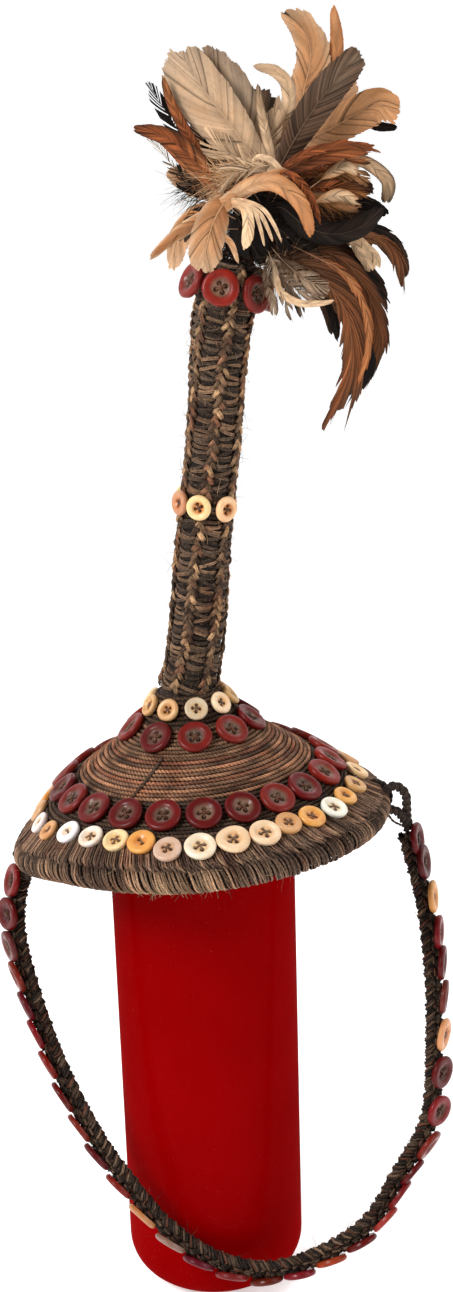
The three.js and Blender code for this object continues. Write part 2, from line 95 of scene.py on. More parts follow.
def splined(points, fine=40):
    # a centripetal Catmull-Rom line through the points
    points = np.asarray(points, float)
    first = 2 * points[0] - points[1]
    last = 2 * points[-1] - points[-2]
    ends = np.vstack([first, points, last])
    line = [points[:1]]
    t = np.linspace(0, 1, fine + 1)[1:, None]
    for k in range(len(points) - 1):
        before, a, b, after = ends[k : k + 4]
        d0, d1, d2 = [max(np.linalg.norm(q - p) ** 0.5, tiny) for p, q in ((before, a), (a, b), (b, after))]
        leave = ((a - before) / d0 - (b - before) / (d0 + d1) + (b - a) / d1) * d1
        arrive = ((b - a) / d1 - (after - a) / (d1 + d2) + (after - b) / d2) * d1
        rise = 3 * (b - a) - 2 * leave - arrive
        fall = 2 * (a - b) + leave + arrive
        line.append(a + leave * t + rise * t**2 + fall * t**3)
    return np.vstack(line)


def atShares(line, shares):
    length = measured(line)
    places = np.clip(shares, 0, 1) * length[-1]
    return np.stack([np.interp(places, length, line[:, k]) for k in range(3)], -1)


def spread(line, count):
    return atShares(line, np.linspace(0, 1, count))


def framed(paths, up):
    # along, across and up at every point of the paths, with across x up = along
    along = unit(np.gradient(paths, axis=-2))
    up = unit(up - (up * along).sum(-1, keepdims=True) * along)
    return along, np.cross(up, along), up


# meshes


class Skin:
    # points, their colours and the faces between them, gathered for one mesh
    def __init__(self):
        self.points = []
        self.tones = []
        self.faces = []
        self.count = 0

    def grid(self, points, tones, ring=False, tube=True):
        # points are (many, rows, sides, 3): rows join up in a ring, sides in a tube
        many, rows, sides = points.shape[:3]
        index = np.arange(many * rows * sides).reshape(many, rows, sides) + self.count
        near = index if ring else index[:, :-1]
        far = np.roll(index, -1, 1) if ring else index[:, 1:]
        if tube:
            corners = [near, np.roll(near, -1, 2), np.roll(far, -1, 2), far]
        else:
            corners = [near[..., :-1], near[..., 1:], far[..., 1:], far[..., :-1]]
        self.faces.append(np.stack(corners, -1).reshape(-1, 4))
        self.points.append(points.reshape(-1, 3))
        self.tones.append(np.broadcast_to(tones, points.shape).reshape(-1, 3))
        self.count += many * rows * sides

    def mesh(self, name):
        made = bpy.data.meshes.new(name)
        made.from_pydata(np.concatenate(self.points) * mm, [], np.concatenate(self.faces))
        tone = made.color_attributes.new("tone", "FLOAT_COLOR", "POINT")
        colours = np.ones((self.count, 4), np.float32)
        colours[:, :3] = np.concatenate(self.tones)
        tone.data.foreach_set("color", colours.ravel())
        made.shade_smooth()
        return made


def addPiece(name, mesh, material, nodes=()):
    if not mesh.materials:
        mesh.materials.append(material)
    made = bpy.data.objects.new(name, mesh)
    bpy.context.scene.collection.objects.link(made)
    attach(made, "root")
    if nodes:
        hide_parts(*nodes)
    return made


def sweep(skin, paths, up, reach, tones, turn=0.0, ring=False, flat=1.0, under=0.0):
    # tubes along paths (many, rows, 3). reach is the radius at each side, turn the angle of the first side,
    # and under how much painted shade darkens the sides away from up
    if paths.ndim == 2:
        paths = paths[None]
    if ring:
        wrapped = np.concatenate([paths[:, -1:], paths, paths[:, :1]], 1)
        upWrapped = np.concatenate([up[:, -1:], up, up[:, :1]], 1) if np.ndim(up) > 2 else up
        across, lift = [part[:, 1:-1] for part in framed(wrapped, upWrapped)[1:]]
    else:
        across, lift = framed(paths, up)[1:]
    reach = np.broadcast_to(reach, paths.shape[:2] + np.shape(reach)[-1:])
    sides = reach.shape[-1]
    angles = 2 * np.pi * np.arange(sides) / sides + np.broadcast_to(turn, paths.shape[:2])[..., None]
    sideways = (reach * np.cos(angles))[..., None] * across[..., None, :]
    upwards = (reach * np.sin(angles))[..., None] * lift[..., None, :] * flat
    tones = np.asarray(tones)
    if tones.ndim == 2:
        tones = tones[:, None, None]
    elif tones.ndim == 3:
        tones = tones[:, :, None]
    # painted shade: the sides facing away from up are darkened
    paintedUnderShade = 1 - under * (0.5 - 0.5 * np.sin(angles))
    skin.grid(paths[..., None, :] + sideways + upwards, tones * paintedUnderShade[..., None], ring)


def anyTones(tones, count, rng, low, high):
    # one of the tones for each of many, made lighter or darker
    return linear(tones)[rng.integers(0, len(tones), count)] * rng.uniform(low, high, (count, 1))


# a two-ply cord's section, and the painted shade on each side of it: dark in its furrows, a little lighter
# on its crests
twoPly = np.array([1, 0.93, 0.62, 0.93, 1, 0.93, 0.62, 0.93])
twoPlyPaintedShade = np.array([1.15, 1, 0.4, 1, 1.15, 1, 0.4, 1])


def plied(skin, path, up, radius, pitch, tone, rng, ring=False, flat=1.0, rowsEach=6, fleck=0.2):
    # one twisted two-ply cord. Painted shade darkens its furrows and its side away from up and lightens its
    # crests a little, and its tone changes along it
    length = measured(path)[-1] + (np.linalg.norm(path[0] - path[-1]) if ring else 0)
    turns = max(1, round(length / pitch))
    rows = turns * rowsEach
    line = np.vstack([path, path[:1]]) if ring else path
    ups = np.broadcast_to(up, path.shape)
    ups = np.vstack([ups, ups[:1]]) if ring else ups
    shares = np.arange(rows) / (rows if ring else rows - 1)
    length = measured(line) / measured(line)[-1]
    middles = np.stack([np.interp(shares, length, line[:, k]) for k in range(3)], -1)
    lifts = np.stack([np.interp(shares, length, ups[:, k]) for k in range(3)], -1)
    reach = np.broadcast_to(radius, rows)[:, None] * twoPly
    knots = rng.normal(1, fleck, (max(3, rows // 9), 1)).repeat(3, 1)
    fade = np.stack([np.interp(shares * (len(knots) - 1), np.arange(len(knots)), knots[:, 0])] * 3, -1)
    colours = np.asarray(tone) * np.clip(fade, 0.35, 1.8)
    shaded = colours[None, :, None] * twoPlyPaintedShade[None, None, :, None]
    turn = 2 * np.pi * turns * shares
    sweep(skin, middles[None], lifts[None], reach[None], shaded, turn, ring, flat, 0.75)


def addWisps(skin, places, outs, alongs, look, rng):
    # loose fibres that stand off a surface and trail along it
    reach, radius, lift, tones = look
    count = len(places)
    t = np.linspace(0, 1, 4)[None, :, None]
    way = unit(outs * lift + alongs * rng.choice([-1, 1], (count, 1)) + rng.normal(0, 0.45, (count, 3)))
    bend = rng.normal(0, 0.5, (count, 1, 3)) - outs[:, None] * 0.25
    length = reach * rng.uniform(0.35, 1, (count, 1, 1))
    paths = places[:, None] + (way[:, None] * t + bend * t**2) * length
    thick = radius * rng.uniform(0.6, 1.2, (count, 1, 1)) * (1 - 0.6 * t) * np.ones((1, 1, 3))
    shade = anyTones(tones, count, rng, 0.7, 1.3)
    sweep(skin, paths, outs[:, None] + 0.1, thick, shade)


# shading


class Signal:
    # a node's output; arithmetic on it adds Math nodes
    def __init__(self, finish, socket):
        self.finish = finish
        self.socket = socket

    def math(self, operation, *values):
        inputs = dict(enumerate(values))
        return self.finish.node("ShaderNodeMath", {"operation": operation}, inputs)

    def __add__(self, other):
        return self.math("ADD", self, other)

    def __radd__(self, other):
        return self.math("ADD", other, self)

    def __sub__(self, other):
        return self.math("SUBTRACT", self, other)

    def __rsub__(self, other):
        return self.math("SUBTRACT", other, self)

    def __mul__(self, other):
        return self.math("MULTIPLY", self, other)

    def __rmul__(self, other):
        return self.math("MULTIPLY", other, self)

    def __pow__(self, other):
        return self.math("POWER", self, other)


class Finish:
    # a material with one Principled shader
    def __init__(self, name, uniform):
        self.material = bpy.data.materials.new(name)
        self.material.use_nodes = True
        self.tree = self.material.node_tree
        self.shader = self.tree.nodes["Principled BSDF"]
        for key, value in uniform.items():
            self.feed(key, value)

    def put(self, socket, value):
        if isinstance(value, Signal):
            self.tree.links.new(value.socket, socket)
        else:
            socket.default_value = value

    def feed(self, key, value):
        self.put(self.shader.inputs[key], value)

    def node(self, kind, settings, inputs, output=0):
        made = self.tree.nodes.new(kind)
        for key, value in settings.items():
            if key == "stops":
                self.setStops(made.color_ramp, value)
            else:
                setattr(made, key, value)
        for key, value in inputs.items():
            self.put(made.inputs[key], value)
        return Signal(self, made.outputs[output])

    def setStops(self, ramp, stops):
        while len(ramp.elements) < len(stops):
            ramp.elements.new(1)
        for element, (place, colour) in zip(ramp.elements, stops):
            element.position = place
            element.color = (*colour, 1)

    def tone(self):
        return self.node("ShaderNodeAttribute", {"attribute_name": "tone"}, {}, "Color")

    def place(self, stretch=(1, 1, 1)):
        where = self.node("ShaderNodeTexCoord", {}, {}, "Object")
        return self.node("ShaderNodeMapping", {}, {"Vector": where, "Scale": stretch})

    def noise(self, where, scale, detail=4.0, roughness=0.6):
        values = {"Vector": where, "Scale": scale, "Detail": detail, "Roughness": roughness}
        return self.node("ShaderNodeTexNoise", {}, values, "Fac")

    def level(self, value, low, high, toLow=0.0, toHigh=1.0):
        values = {"Value": value, "From Min": low, "From Max": high, "To Min": toLow, "To Max": toHigh}
        return self.node("ShaderNodeMapRange", {"clamp": True}, values)

    def mix(self, share, a, b, kind="MIX"):
        values = {"Factor": share, 6: a, 7: b}
        return self.node("ShaderNodeMix", {"data_type": "RGBA", "blend_type": kind}, values, 2)

    def bump(self, height, strength, distance):
        values = {"Height": height, "Strength": strength, "Distance": distance}
        self.feed("Normal", self.node("ShaderNodeBump", {}, values))


def rgba(colour):
    return (*linear(colour), 1)


def fibreFinish(name, paleShare, roughness, fine):
    # dull plant fibre: the cord's own tone, pale and dark streaks and fine hairs
    finish = Finish(name, {"Specular IOR Level": 0.25})
    where = finish.place()
    streaks = finish.noise(where, fine, 5, 0.65)
    patches = finish.noise(where, 55, 3, 0.5)
    hairs = finish.noise(where, fine * 3, 2, 0.5)
    dark = finish.mix(finish.level(streaks, 0.3, 0.55, 0.7, 0), finish.tone(), rgba((18, 12, 9)))
    pale = finish.mix(finish.level(streaks, 0.56, 0.78, 0, paleShare), dark, rgba((204, 158, 120)))
    warm = finish.mix(finish.level(patches, 0.5, 0.75, 0, 0.5), pale, rgba((120, 62, 40)), "SOFT_LIGHT")
    finish.feed("Base Color", warm)
    finish.feed("Roughness", finish.level(patches, 0.3, 0.7, roughness - 0.08, roughness + 0.08))
    finish.bump(streaks + hairs * 0.5, 0.7, 0.0006)
    return finish.material


def hornFinish():
    # worn red horn: glossy, with pale scratches, and dull where its tone is brown
    finish = Finish("redHorn", {"Specular IOR Level": 0.16, "Coat Roughness": 0.12})
    where = finish.place()
    cloud = finish.noise(where, 160, 4, 0.6)
    scratch = finish.noise(finish.place((1, 6, 3)), 700, 3, 0.7)
    body = finish.mix(finish.level(cloud, 0.35, 0.7, 0, 0.45), finish.tone(), rgba((62, 12, 12)))
    worn = finish.mix(finish.level(scratch, 0.66, 0.82, 0, 0.5), body, rgba((176, 96, 80)))
    finish.feed("Base Color", worn)
    finish.feed("Roughness", finish.level(cloud, 0.3, 0.75, 0.26, 0.5))
    finish.feed("Coat Weight", finish.level(cloud, 0.3, 0.7, 0.14, 0.04))
    finish.bump(cloud + scratch * 0.3, 0.25, 0.0003)
    return finish.material


def boneFinish():
    # old bone, shell and casein: waxy, with faint rings, specks and brown in the pits
    values = {"Specular IOR Level": 0.5, "Subsurface Weight": 0.08, "Subsurface Scale": 0.002}
    finish = Finish("bone", values)
    where = finish.place()
    cloud = finish.noise(where, 120, 4, 0.6)
    speck = finish.noise(where, 520, 2, 0.5)
    warmth = finish.level(cloud, 0.42, 0.72, 0, 0.5)
    warm = finish.mix(warmth, finish.tone(), rgba((232, 190, 140)), "MULTIPLY")
    marked = finish.mix(finish.level(speck, 0.68, 0.8, 0, 0.45), warm, rgba((120, 84, 52)))
    finish.feed("Base Color", marked)
    finish.feed("Roughness", finish.level(cloud, 0.3, 0.75, 0.28, 0.5))
    finish.bump(cloud + speck * 0.3, 0.2, 0.0003)
    return finish.material


def featherFinish():
    # barbs: their own tone, finely barred and streaked, with a soft sheen
    finish = Finish("plumage", {"Specular IOR Level": 0.1, "Sheen Weight": 0.02, "Sheen Roughness": 0.5})
    where = finish.place()
    fleck = finish.noise(where, 420, 3, 0.6)
    cloud = finish.noise(where, 60, 3, 0.6)
    dark = finish.mix(finish.level(fleck, 0.5, 0.8, 0, 0.25), finish.tone(), rgba((40, 24, 15)))
    pale = finish.mix(finish.level(cloud, 0.5, 0.75, 0, 0.25), dark, rgba((222, 176, 130)), "SOFT_LIGHT")
    finish.feed("Base Color", pale)
    finish.feed("Roughness", finish.level(cloud, 0.3, 0.7, 0.5, 0.68))
    finish.bump(fleck, 0.25, 0.0003)
    return finish.material


def lacquerFinish():
    # deep red lacquer with faint mottling, fine dust and a clear top coat
    finish = Finish("redLacquer", {"Specular IOR Level": 0, "Coat Roughness": 0.12})
    where = finish.place()
    cloud = finish.noise(where, 9, 4, 0.6)
    dust = finish.noise(where, 1400, 1, 0.5)
    body = finish.mix(finish.level(cloud, 0.35, 0.7), rgba((136, 0, 2)), rgba((124, 0, 1)))
    finish.feed("Base Color", finish.mix(finish.level(dust, 0.74, 0.78, 0, 0.6), body, rgba((206, 96, 84))))
    finish.feed("Roughness", finish.level(cloud, 0.3, 0.7, 0.3, 0.38))
    finish.feed("Coat Weight", finish.level(cloud, 0.3, 0.7, 0.02, 0.01))
    finish.bump(finish.noise(where, 30, 2, 0.5), 0.05, 0.001)
    return finish.material


coiledFibre = fibreFinish("coiledFibre", 0.6, 0.82, 900)
stemFibre = fibreFinish("stemFibre", 0.45, 0.86, 800)
plaitFibre = fibreFinish("plaitFibre", 0.3, 0.78, 1100)
redHorn = hornFinish()
bone = boneFinish()
plumage = featherFinish()
redLacquer = lacquerFinish()
print("stage: finishes made")


# the cap's surface, as the solid has it

hat = {
    "centreHeight": 322,
    "tilt": 3.3,
    # radius and height over the brim's middle, from the roll up to the stem's foot
    "outer": [(115.55, 7.2), (99.8, 16.6), (83, 28.3), (73.5, 35.2), (47, 54), (35.4, 61.7), (29.5, 66.8),
              (23.2, 76.5), (18.6, 84.5)],
    "inner": [(109.96, 8.17), (97.5, 11.8), (80.7, 23.6), (45, 49.4), (33, 56.5), (20, 62.5), (0.01, 66)],
    # how far the brim waves every 45 degrees, and the radii between which the wave grows
    "wave": [0, -1, -2, -5, -12, 1.5, 2, 2],
    "waveFrom": 84,
    "waveTo": 108.5,
}
roll = {"ringRadius": 111.4, "radius": 8}


def toWorld(points, isPlace=True):
    tilt = math.radians(hat["tilt"])
    x, y, z = points[..., 0], points[..., 1], points[..., 2]
    turned = [x * math.cos(tilt) - z * math.sin(tilt), y, x * math.sin(tilt) + z * math.cos(tilt)]
    if isPlace:
        turned[2] = turned[2] + hat["centreHeight"]
    return np.stack(turned, -1)


def brimRise(angle, r):
    place = (np.asarray(angle, float) / 45) % 8
    k = np.floor(place).astype(int)
    wave = np.array(hat["wave"], float)
    before, a, b, after = [wave[(k + step) % 8] for step in (-1, 0, 1, 2)]
    t = place - k
    leave = (b - before) / 2
    arrive = (after - a) / 2
    rise = a + t * (leave + t * (3 * (b - a) - 2 * leave - arrive + t * (2 * (a - b) + leave + arrive)))
    share = np.clip((r - hat["waveFrom"]) / (hat["waveTo"] - hat["waveFrom"]), 0, 1)
    return rise * share**1.5


def bareCap(angle, r, line="outer"):
    table = np.array(hat[line][::-1], float)
    turn = np.radians(angle)
    height = np.interp(r, table[:, 0], table[:, 1]) + brimRise(angle, r)
    return np.stack([r * np.cos(turn), r * np.sin(turn), height + 0 * turn], -1)


def onCap(angle, r, height=0.0, reach=1.5):
    # a point that is height over the cap, and the cap's normal there
    angle, r = np.broadcast_arrays(np.asarray(angle, float), np.asarray(r, float))
    outward = bareCap(angle, r + reach) - bareCap(angle, r - reach)
    around = bareCap(angle + 4, r) - bareCap(angle - 4, r)
    normal = unit(np.cross(outward, around))
    place = bareCap(angle, r) + normal * np.asarray(height)[..., None]
    return toWorld(place), toWorld(normal, False)


def onRoll(angle, turn, height=0.0):
    # a point on the roll: turn is 0 on its outer side and 90 on top
    angle, turn = np.broadcast_arrays(np.asarray(angle, float), np.asarray(turn, float))
    reach = roll["radius"] + height
    ring = roll["ringRadius"] + reach * np.cos(np.radians(turn))
    spin = np.radians(angle)
    rise = brimRise(angle, roll["ringRadius"]) + reach * np.sin(np.radians(turn))
    out = np.cos(np.radians(turn))
    normal = np.stack([np.cos(spin) * out, np.sin(spin) * out, np.sin(np.radians(turn))], -1)
    return toWorld(np.stack([ring * np.cos(spin), ring * np.sin(spin), rise], -1)), toWorld(normal, False)


# the stand

standLook = {
    "topRadius": 59.5,
    "footRadius": 58,
    "height": 360.6,
    "footRound": 27,
    "topRound": 5,
    "flat": 20,
    "sides": 112,
    "tone": (140, 0, 0),
}


def makeStand(look):
    def arc(r, h, radius, start):
        turns = np.radians(np.linspace(start, start + 90, 14))
        return np.stack([r + radius * np.cos(turns), h + radius * np.sin(turns)], -1)

    foot = arc(look["footRadius"] - look["footRound"], look["footRound"], look["footRound"], -90)
    top = arc(look["topRadius"] - look["topRound"], look["height"] - look["topRound"], look["topRound"], 0)
    rise = np.linspace(foot[-1], top[0], 12)[1:-1]
    under = [[0.01, 0], [look["flat"], 0]]
    over = [[look["flat"], look["height"]], [0.01, look["height"]]]
    profile = np.vstack([under, foot, rise, top, over])
    turns = 2 * np.pi * np.arange(look["sides"]) / look["sides"]
    points = np.empty((1, len(profile), look["sides"], 3))
    points[..., 0] = profile[None, :, None, 0] * np.cos(turns)
    points[..., 1] = profile[None, :, None, 0] * np.sin(turns)
    points[..., 2] = profile[None, :, None, 1]
    skin = Skin()
    skin.grid(points, linear(look["tone"]))
    addPiece("display_stand", skin.mesh("display_stand"), redLacquer, ["stand"])


makeStand(standLook)
print("stage: stand made")


# the cap

capLook = {
    "around": 128,
    "shellTone": (62, 44, 33),
    "coilCount": 11,
    "coilOuter": 73.5,
    "coilInner": 47,
    "coilRadius": 1.42,
    "coilPitch": 5.2,
    "coilTones": [(164, 118, 88), (142, 102, 76), (174, 122, 90), (132, 96, 74), (150, 96, 70)],
    # first and last radius of the coils inside those, and the gap between them
    "crownCoils": (46, 30, -2.5),
    "crownTone": (136, 100, 74),
    "collarRadii": [29.5, 27.6, 25.8, 24, 22.4, 20.8, 19.4],
    "collarTone": (84, 62, 46),
    "seamTone": (96, 74, 54),
    # how long, thick and steep loose fibres are, and their tones
    "wisps": (6, 0.15, 0.35, [(170, 136, 104), (110, 84, 64), (64, 48, 38)]),
    "wispCount": 350,
    "seed": 4,
}


def lathed(skin, profile, tones, around):
    # a skin round the hat's axis, waved as the brim is
    turns = np.degrees(2 * np.pi * np.arange(around) / around)
    r = profile[:, 0][:, None]
    spin = np.radians(turns)[None]
    height = profile[:, 1][:, None] + brimRise(turns[None], r)
    points = np.stack([r * np.cos(spin), r * np.sin(spin), height + 0 * spin], -1)
    skin.grid(toWorld(points)[None], tones)


def makeCapShell(look):
    # the hollow shell, with coil ridges inside
    outer = np.array(hat["outer"], float)
    inner = np.array(hat["inner"], float)
    outerR = np.linspace(outer[0, 0], outer[-1, 0], 40)
    outerH = np.interp(outerR, outer[::-1, 0], outer[::-1, 1]) - 0.5
    innerR = np.linspace(inner[-1, 0], inner[0, 0], 110)
    ridge = 0.5 * np.abs(np.sin(np.pi * innerR / 3.1))
    innerH = np.interp(innerR, inner[::-1, 0], inner[::-1, 1]) + ridge - 0.5
    inside = np.stack([innerR, innerH], -1)
    outside = np.stack([outerR, outerH], -1)
    profile = np.vstack([inside, outside, [[0.01, outerH[-1]]]])
    skin = Skin()
    # painted shade: the inside is lighter on its ridges and darker in the grooves, and the outside, seen
    # between the coils, is darkened
    shade = np.concatenate([0.5 + 1.1 * ridge, np.full(len(outside) + 1, 0.6)])
    tones = linear(look["shellTone"]) * shade[None, :, None, None]
    lathed(skin, profile, tones, look["around"])
    addPiece("cap_shell", skin.mesh("cap_shell"), coiledFibre, ["cap"])


def makeCoils(look):
    rng = np.random.default_rng(look["seed"])
    skin = Skin()
    pitch = (look["coilOuter"] - look["coilInner"]) / look["coilCount"]
    for k in range(look["coilCount"]):
        r = look["coilOuter"] - (k + 0.5) * pitch
        path, normal = onCap(np.arange(0, 360, 3), r + rng.normal(0, 0.12), 0.1 + rng.normal(0, 0.12), 2)
        tone = linear(look["coilTones"][k % len(look["coilTones"])])
        plied(skin, path, normal, look["coilRadius"], look["coilPitch"], tone, rng, True, 0.95, 5, 0.45)
    for r in np.arange(*look["crownCoils"]):
        path, normal = onCap(np.arange(0, 360, 4), r, 0.1, 2)
        plied(skin, path, normal, 1.4, 4, linear(look["crownTone"]), rng, True, 0.95, 5, 0.4)
    for r in look["collarRadii"]:
        path, normal = onCap(np.arange(0, 360, 5), r, 0, 1)
        plied(skin, path, normal, 1.5, 4.6, linear(look["collarTone"]), rng, True, 1.0, 4)
    # the seam that crosses the coils on the front left
    shares = np.linspace(0, 1, 30)
    path, normal = onCap(-112 - 10 * shares, 47 + 27 * shares, 1.3, 2)
    plied(skin, path, normal, 1.3, 5, linear(look["seamTone"]), rng)
    count = look["wispCount"]
    angle = rng.uniform(-180, 180, count)
    place, normal = onCap(angle, rng.uniform(33, 76, count), 1.2, 2)
    addWisps(skin, place, normal, unit(np.cross(normal, [0, 0, 1.0])), look["wisps"], rng)
    addPiece("cap_coils", skin.mesh("cap_coils"), coiledFibre)


bandLook = {
    "from": 75,
    "to": 98,
    "pitch": 2.4,
    "tones": [(84, 64, 50), (70, 52, 42), (96, 74, 58)],
    "seed": 9,
}


def makeBand(look):
    # coils under the buttons between the brim buttons and the sewn row
    rng = np.random.default_rng(look["seed"])
    skin = Skin()
    for k, r in enumerate(np.arange(look["from"], look["to"], look["pitch"])):
        path, normal = onCap(np.arange(0, 360, 3), r, 0.0, 2)
        plied(skin, path, normal, 1.4, 5.2, linear(look["tones"][k % 3]), rng, True, 0.8, 4)
    addPiece("cap_band", skin.mesh("cap_band"), coiledFibre)


stitchLook = {
    "count": 300,
    "slant": 4.6,
    # from this radius on the cap and this turn on the roll, to this turn on the roll
    "reach": 98,
    "from": 112,
    "to": 44,
    "strandRadius": 0.56,
    "spacing": 0.5,
    "tones": [(118, 92, 74), (142, 110, 88), (94, 74, 60), (168, 132, 104), (108, 78, 64)],
    "seed": 12,
}


def stitched(skin, paths, ups, strands, spacing, radius, tones, rng):
    # stitches of a few strands. They bulge in the middle and dive at both ends, where painted shade darkens
    # them; their undersides carry painted shade too
    count, rows = paths.shape[:2]
    shares = np.linspace(0, 1, rows)
    across = framed(paths, ups)[1]
    swell = np.sin(np.pi * shares) ** 0.6
    for strand in range(strands):
        phase = 2 * np.pi * shares + strand * 2.1
        aside = (strand - (strands - 1) / 2) * spacing + rng.normal(0, 0.12, (count, 1))
        aside = aside + 0.3 * np.sin(1.5 * phase)[None]
        rise = 1.6 * swell + 0.2 * np.cos(phase) + rng.normal(0, 0.18, (count, 1)) * swell - 0.8
        middles = paths + across * aside[..., None] + ups * rise[..., None]
        reach = radius * rng.uniform(0.8, 1.15, (count, 1, 1)) * np.ones((1, rows, 5))
        shade = tones * rng.uniform(0.4, 1.5, (count, 1))
        # painted shade: darker where the stitch dives at both ends
        shade = shade[:, None] * (0.12 + swell)[None, :, None]
        sweep(skin, middles, ups, reach, shade, 0.3, False, 1.0, 0.85)


def makeBandStitches(look):
    # short overcast stitches from the sewn row to the top of the roll
    rng = np.random.default_rng(look["seed"])
    count = look["count"]
    shares = np.linspace(0, 1, 11)
    angles = (np.arange(count) * 360 / count + rng.normal(0, 0.2, count))[:, None]
    angles = angles + (look["slant"] + rng.normal(0, 0.4, (count, 1))) * (shares - 0.5)[None]
    low, lowUp = onCap(angles, look["reach"] + 10 * shares[None] + rng.normal(0, 0.5, (count, 1)), 1.0)
    turn = look["from"] + (look["to"] - look["from"]) * shares[None] + rng.normal(0, 4, (count, 1))
    high, highUp = onRoll(angles, turn, 0.2)
    share = smooth((shares - 0.1) / 0.6)[None, :, None]
    paths = low * (1 - share) + high * share
    ups = unit(lowUp * (1 - share) + highUp * share)
    tones = anyTones(look["tones"], count, rng, 0.7, 1.2)
    skin = Skin()
    stitched(skin, paths, ups, 2, 2 * look["spacing"], look["strandRadius"], tones, rng)
    addPiece("band_stitches", skin.mesh("band_stitches"), coiledFibre)


rollLook = {
    "stitches": 154,
    "strands": 3,
    "spacing": 1.3,
    "strandRadius": 0.68,
    "from": 60,
    "to": -150,
    "slant": 5.5,
    "tones": [(126, 98, 78), (150, 118, 94), (104, 82, 66), (172, 136, 108), (92, 70, 56)],
    # the stitches round this angle are paler
    "frontAngle": -96,
    "frontSpread": 14,
    "frontTone": (206, 164, 126),
    "wisps": (6, 0.15, 0.5, [(176, 144, 112), (120, 92, 70), (58, 44, 36)]),
    "wispCount": 600,
    "frays": (6, 0.4, 1.2, [(160, 124, 92), (112, 86, 64), (60, 46, 38)]),
    "frayCount": 60,
    "seed": 21,
}


def makeRoll(look):
    # the roll's core, overcast with bundles of strands
    rng = np.random.default_rng(look["seed"])
    skin = Skin()
    angles = np.arange(0, 360, 3.0)
    turns = np.arange(0, 360, 30.0)
    core = onRoll(angles[:, None], turns[None], -1.2)[0]
    # the core is near black: painted shade seen in the gaps between the stitches
    skin.grid(core[None, :, ::-1], linear((26, 19, 14)), True)
    count = look["stitches"]
    shares = np.linspace(0, 1, 15)
    turn = look["from"] + (look["to"] - look["from"]) * shares[None] + rng.normal(0, 5, (count, 1))
    middle = np.arange(count) * 360 / count + rng.normal(0, 0.25, count)
    tones = anyTones(look["tones"], count, rng, 0.8, 1.2)
    front = np.exp(-(((middle - look["frontAngle"] + 180) % 360 - 180) / look["frontSpread"]) ** 2)
    tones = blend(tones, linear(look["frontTone"]), 0.6 * front)
    angle = middle[:, None] + (look["slant"] + rng.normal(0, 0.6, (count, 1))) * (shares - 0.35)[None]
    paths, ups = onRoll(angle, turn, 0.1)
    stitched(skin, paths, ups, look["strands"], look["spacing"], look["strandRadius"], tones, rng)
    count = look["wispCount"]
    angle = rng.uniform(-180, 180, count)
    place, normal = onRoll(angle, rng.uniform(-100, 110, count), 0.9)
    around = unit(np.cross([0, 0, 1.0], normal))
    addWisps(skin, place, normal, around, look["wisps"], rng)
    # frayed ends hang down at the front
    count = look["frayCount"]
    angle = rng.normal(-97, 9, count)
    place, normal = onRoll(angle, rng.uniform(-95, -40, count), 0.2)
    down = np.broadcast_to([0, 0, -1.0], place.shape)
    addWisps(skin, place, unit(normal + down), down, look["frays"], rng)
    addPiece("overcast_roll", skin.mesh("overcast_roll"), coiledFibre, ["brim_roll"])


makeCapShell(capLook)
makeCoils(capLook)
makeBand(bandLook)
makeBandStitches(stitchLook)
makeRoll(rollLook)
print("stage: cap made")


# buttons

# profiles run from the middle of the top to the edge: share of the radius, share of the thickness
buttonForms = {
    "sewThrough": {
        "profile": [(0, 0.62), (0.42, 0.62), (0.49, 0.7), (0.56, 0.88), (0.66, 0.98), (0.86, 1), (0.95, 0.9),
                    (1, 0.62), (0.985, 0.3), (0.94, 0.12)],
        "holes": 4, "holeRing": 0.27, "holeRadius": 0.11,
    },
    "rimmed": {
        "profile": [(0, 0.62), (0.5, 0.62), (0.6, 0.68), (0.68, 0.92), (0.8, 1), (0.92, 0.93), (1, 0.68),
                    (0.99, 0.4), (0.94, 0.12)],
        "holes": 4, "holeRing": 0.31, "holeRadius": 0.12,
    },
    "flat": {
        "profile": [(0, 0.9), (0.7, 0.93), (0.88, 1), (0.96, 0.92), (1, 0.7), (0.99, 0.35), (0.94, 0.12)],
        "holes": 4, "holeRing": 0.3, "holeRadius": 0.12,
    },
    "domed": {
        "profile": [(0, 0.55), (0.3, 0.56), (0.42, 0.72), (0.62, 0.97), (0.8, 1), (0.93, 0.85), (1, 0.55),
                    (0.98, 0.28), (0.92, 0.1)],
        "holes": 4, "holeRing": 0.28, "holeRadius": 0.115,
    },
    "fishEye": {
        "profile": [(0, 0.6), (0.25, 0.62), (0.4, 0.8), (0.55, 0.96), (0.8, 1), (0.93, 0.9), (1, 0.62),
                    (0.99, 0.35), (0.94, 0.12)],
        "holes": 2, "holeRing": 0.2, "holeRadius": 0.11,
    },
}


